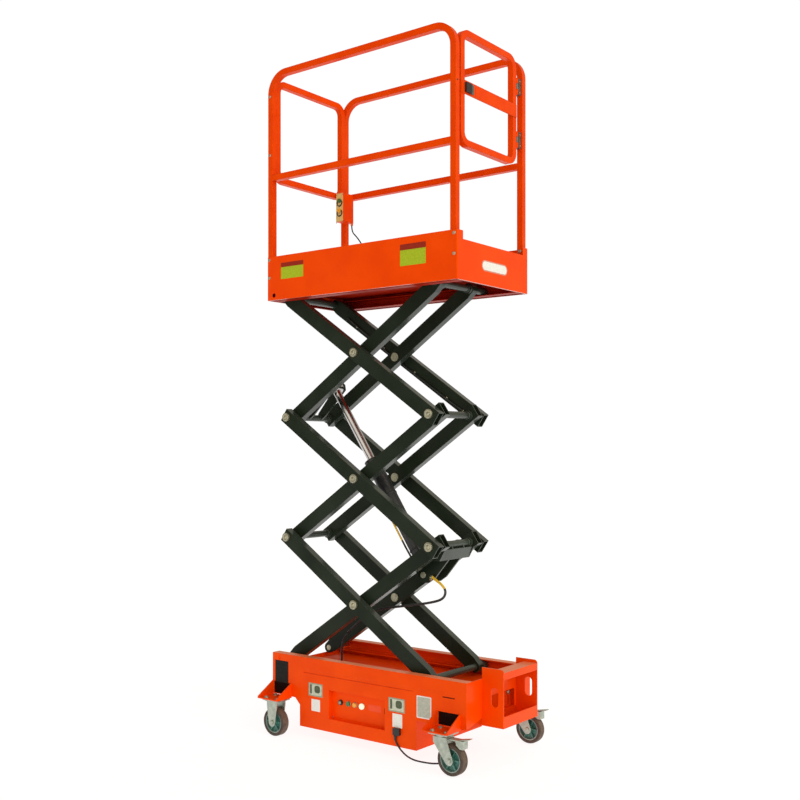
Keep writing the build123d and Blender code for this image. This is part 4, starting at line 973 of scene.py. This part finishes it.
def make_base_details():
    # Near-black sheets behind the side windows: painted shade where the lit inside would show.
    shade_liners = []
    for side in (-1, 1):
        for x0, x1 in ((-0.6385, -0.5205), (0.387, 0.505)):
            outline = [
                (x0, side * 0.2668, 0.1945), (x1, side * 0.2668, 0.1945), (x1, side * 0.2668, 0.260),
                (x0, side * 0.2668, 0.260),
            ]
            shade_liners.append(plate(outline, (0, side, 0), 0.001))
    add("window_shade_liners", mesh_from("window_shade_liners", shade_liners), "dark_gap", "base")

    back = PANEL_Y + 0.031
    rings = []
    for slot, (x, size) in enumerate(
        ((-0.214, 0.0110), (-0.165, 0.0110), (-0.124, 0.0110), (-0.080, 0.0140))
    ):
        profile = [
            (size + 0.0005, 0), (size + 0.0026, 0), (size + 0.0024, 0.0016), (size + 0.0012, 0.0022),
            (size + 0.0004, 0.0020),
        ]
        rings.append(turned(profile, 28, (x, back, 0.199), (0, -1, 0), min(slot, 1)))
    add("control_rings", mesh_from("control_rings", rings), ["dark_steel", "zinc"], "base")
    key = [
        turned(
            [(0, 0), (0.0082, 0), (0.0082, 0.0012), (0.0070, 0.0018), (0, 0.0018)], 24,
            (-0.214, back - 0.010, 0.199), (0, -1, 0),
        )
    ]
    add("key_face", mesh_from("key_face", key), "zinc", "base")
    socket = [
        plate(
            rounded_rectangle((-0.003, back, 0.200), 0.080, 0.030, (1, 0, 0), (0, 0, 1), 0.006), (0, -1, 0),
            0.0008,
        )
    ]
    add("socket_sign", mesh_from("socket_sign", socket), "label_socket", "base")
    # A near-black slot shape: painted shade in the slot.
    slot = [
        plate(
            rounded_rectangle((0.060, back, 0.196), 0.009, 0.030, (1, 0, 0), (0, 0, 1), 0.0044), (0, -1, 0),
            0.0008,
        )
    ]
    add("recess_slot", mesh_from("recess_slot", slot), "dark_gap", "base")
    corners = []
    for x in (-0.262, 0.077):
        for z in (0.121, 0.252):
            corners += dome_bolt((x, back, z), (0, -1, 0), 0.0035)
    add("recess_screws", mesh_from("recess_screws", corners), "zinc", "base")

    wall = BASE_RIGHT - 0.022
    lock = [
        turned(
            [(0, 0), (0.0105, 0), (0.0105, 0.004), (0.0090, 0.0055), (0, 0.0055)], 24, (wall, 0.108, 0.288),
            (1, 0, 0),
        ),
    ]
    add("end_lock", mesh_from("end_lock", lock), "zinc_pale", "base")
    seam = [
        plate(
            [(wall, 0.1065, 0.230), (wall, 0.1095, 0.230), (wall, 0.1095, 0.277), (wall, 0.1065, 0.277)],
            (1, 0, 0), 0.0005,
        )
    ]
    add("end_seam", mesh_from("end_seam", seam), "dark_gap", "base")
    wall_top = [(-0.2715, 0.3375), (0.2715, 0.3375), (0.2715, 0.3975), (-0.2715, 0.3975)]
    wall = [plate([(BASE_RIGHT - 0.004, y, z) for y, z in wall_top], (1, 0, 0), 0.0045)]
    add("end_wall_top", mesh_from("end_wall_top", wall), "orange", "base")


# Platform details


def make_deck_tread():
    """Raised lozenges of a tread plate, turned this way and that."""
    parts = []
    columns, rows = 27, 13
    for i in range(columns):
        for j in range(rows):
            x = PLATFORM_LOW.x + 0.065 + i * 0.040
            y = -0.246 + j * 0.041
            lean = math.radians(45 if (i + j) % 2 else -45)
            ahead = Vector((math.cos(lean), math.sin(lean), 0))
            across = Vector((-ahead.y, ahead.x, 0))
            centre = Vector((x, y, DECK_TOP))
            parts.append(lozenge(centre, ahead * 0.0130, across * 0.0034, 0.0012))
    add("deck_tread", mesh_from("deck_tread", parts), "orange", "platform")


def make_skirt_edge():
    """A pale strip along the foot of the skirt: the painted highlight of its folded edge."""
    z, width = SKIRT_BOTTOM - 0.0003, 0.0045
    x0, y0, x1, y1 = PLATFORM_LOW.x + 0.006, PLATFORM_LOW.y, PLATFORM_HIGH.x - 0.006, PLATFORM_HIGH.y
    parts = []
    for y in (y0, y1 - width):
        parts.append(
            plate([(x0, y, z), (x1, y, z), (x1, y + width, z), (x0, y + width, z)], (0, 0, 1), 0.0003)
        )
    for x in (PLATFORM_LOW.x, PLATFORM_HIGH.x - width):
        y2, y3 = y0 + 0.006, y1 - 0.006
        parts.append(
            plate([(x, y2, z), (x + width, y2, z), (x + width, y3, z), (x, y3, z)], (0, 0, 1), 0.0003)
        )
    add("skirt_edge", mesh_from("skirt_edge", parts), "orange_lip", "platform")


def lozenge(centre, ahead, across, height):
    def build(shared):
        low = [centre + ahead, centre + across, centre - ahead, centre - across]
        top = [centre + (corner - centre) * 0.62 + Vector((0, 0, height)) for corner in low]
        lower = [shared.verts.new(corner) for corner in low]
        upper = [shared.verts.new(corner) for corner in top]
        shared.faces.new(upper)
        for k in range(4):
            after = (k + 1) % 4
            shared.faces.new([lower[k], lower[after], upper[after], upper[k]])

    return build


def make_gate_details():
    face = POST_RIGHT_X + 0.019
    low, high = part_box("gate_latch")
    outline = rounded_rectangle(
        (face, (low.y + high.y) / 2 + 0.034, (low.z + high.z) / 2), 0.020, high.z - low.z, (0, 1, 0),
        (0, 0, 1), 0.002,
    )
    keeper = [plate(outline, (1, 0, 0), 0.0060)]
    add("latch_keeper", mesh_from("latch_keeper", keeper), "grey_hinge", "gate")
    z0, z1 = SKIRT_BOTTOM + 0.835, SKIRT_BOTTOM + 0.896
    seam = [
        plate(
            [(face, -0.1450, z0), (face, -0.1432, z0), (face, -0.1432, z1), (face, -0.1450, z1)], (1, 0, 0),
            0.0004,
        )
    ]
    add("plate_seam", mesh_from("plate_seam", seam), "orange_wall", "gate")
    screws = []
    for z in (SKIRT_BOTTOM + 0.700, SKIRT_BOTTOM + 0.957):
        for dz in (0.012, 0.066):
            screws += dome_bolt((POST_RIGHT_X + 0.007, 0.2585, z + dz), (1, 0, 0), 0.0040)
    add("hinge_screws", mesh_from("hinge_screws", screws), "zinc", "platform")
    dots = dome_bolt((POST_RIGHT_X + 0.015, -0.283, 3.0665), (1, 0, 0), 0.0045)
    add("post_plug", mesh_from("post_plug", dots), "dark_steel", "platform")


def make_box_details():
    low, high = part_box("control_box")
    screws = []
    for x in (low.x + 0.006, high.x - 0.006):
        for z in (low.z + 0.007, high.z - 0.007):
            screws += dome_bolt((x, low.y, z), (0, -1, 0), 0.0030)
    add("box_screws", mesh_from("box_screws", screws), "zinc", "platform")
    buttons_low, buttons_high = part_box("control_box_buttons")
    centre_x = (buttons_low.x + buttons_high.x) / 2
    rings = []
    for z in (low.z + 0.112, low.z + 0.058):
        profile = [(0.0145, 0), (0.0195, 0), (0.0190, 0.0030), (0.0165, 0.0042), (0.0145, 0.0038)]
        rings.append(turned(profile, 28, (centre_x, low.y, z), (0, -1, 0)))
    add("button_rings", mesh_from("button_rings", rings), "black", "platform")


# Hoses on the moving parts


def on_arm(along, off, y, stage=1):
    """A point on a rising arm of a stage, along it from its lower pin and off its middle line."""
    x = PIN_X + along * math.cos(ARM_TURN) - off * math.sin(ARM_TURN)
    z = PIN_Z + (stage - 1) * RISE + along * math.sin(ARM_TURN) + off * math.cos(ARM_TURN)
    return (x, y, z)


def beside_barrel(along, out, y):
    """A point beside the cylinder barrel, along it from its lower eye."""
    return (0.1456 - 0.5525 * along - 0.8335 * out, y, 0.8271 + 0.8335 * along - 0.5525 * out)


def make_hoses():
    loop = [
        on_arm(0.930, -0.078, -0.066), on_arm(0.944, -0.105, -0.074), on_arm(0.967, -0.141, -0.078),
        on_arm(0.973, -0.182, -0.078), on_arm(0.936, -0.206, -0.078), on_arm(0.855, -0.180, -0.078),
        on_arm(0.760, -0.138, -0.080), on_arm(0.670, -0.098, -0.084), on_arm(0.590, -0.062, -0.090),
        on_arm(0.510, -0.046, -0.098), on_arm(0.430, -0.050, -0.100), on_arm(0.3475, -0.0610, -0.0995),
    ]
    hose(
        "lug_hose", loop, 0.0060, ["hose_yellow", "cord"], "inner_1", 12, 8,
        lambda share: 0 if share < 0.21 else 1,
    )
    fitting = turned(
        [(0, 0), (0.0085, 0), (0.0085, 0.010), (0.0065, 0.012), (0.0065, 0.022), (0, 0.022)], 6, loop[0],
        (0.15, -0.55, -0.80), smooth=False,
    )
    add("hose_fitting", mesh_from("hose_fitting", [fitting]), "zinc", "inner_1")
    side = [
        beside_barrel(0.10, 0.030, -0.034), beside_barrel(0.16, 0.036, -0.030),
        beside_barrel(0.24, 0.036, -0.030),
        beside_barrel(0.32, 0.036, -0.030), beside_barrel(0.40, 0.034, -0.030),
        beside_barrel(0.46, 0.030, -0.032),
    ]
    hose(
        "barrel_hose", side, 0.0048, ["cord", "hose_yellow"], "cylinder_barrel", 12, 8,
        lambda share: 1 if 0.25 < share < 0.62 else 0,
    )
    bands = []
    for along in (0.14, 0.30, 0.45):
        at = beside_barrel(along, 0, 0)
        bands.append(
            turned(
                [(0.0368, -0.004), (0.0392, -0.004), (0.0392, 0.004), (0.0368, 0.004)], 40, at,
                (-0.5525, 0, 0.8335),
            )
        )
    add("barrel_bands", mesh_from("barrel_bands", bands), "dark_steel", "cylinder_barrel")


def make_cables():
    """A thin cable clipped along the inner side of the far falling arm of the top stage."""
    def at(along, off, y=0.160):
        return (
            PIN_X + along * math.cos(ARM_TURN) + off * math.sin(ARM_TURN), y,
            PIN_Z + 3 * RISE - along * math.sin(ARM_TURN) + off * math.cos(ARM_TURN),
        )

    points = [at(0.12, -0.010), at(0.30, -0.018), at(0.55, -0.022), at(0.80, -0.020), at(1.02, -0.016)]
    hose("arm_cable", points, 0.0030, "cord", "outer_3", 8, 6)
    clips = []
    for along in (0.20, 0.42, 0.66, 0.90, 1.02):
        clips += dome_bolt(at(along, -0.018, 0.1675), (0, -1, 0), 0.0065)
    add("cable_clips", mesh_from("cable_clips", clips), "zinc", "outer_3")


make_camera()
MATERIALS = {}
make_studio()
MATERIALS.update(make_materials())
make_cords()
dress_nodes()
make_tyres()
make_pin_caps()
make_bolts()
make_welds()
make_signs()
make_base_details()
make_deck_tread()
make_skirt_edge()
make_gate_details()
make_box_details()
make_hoses()
make_cables()
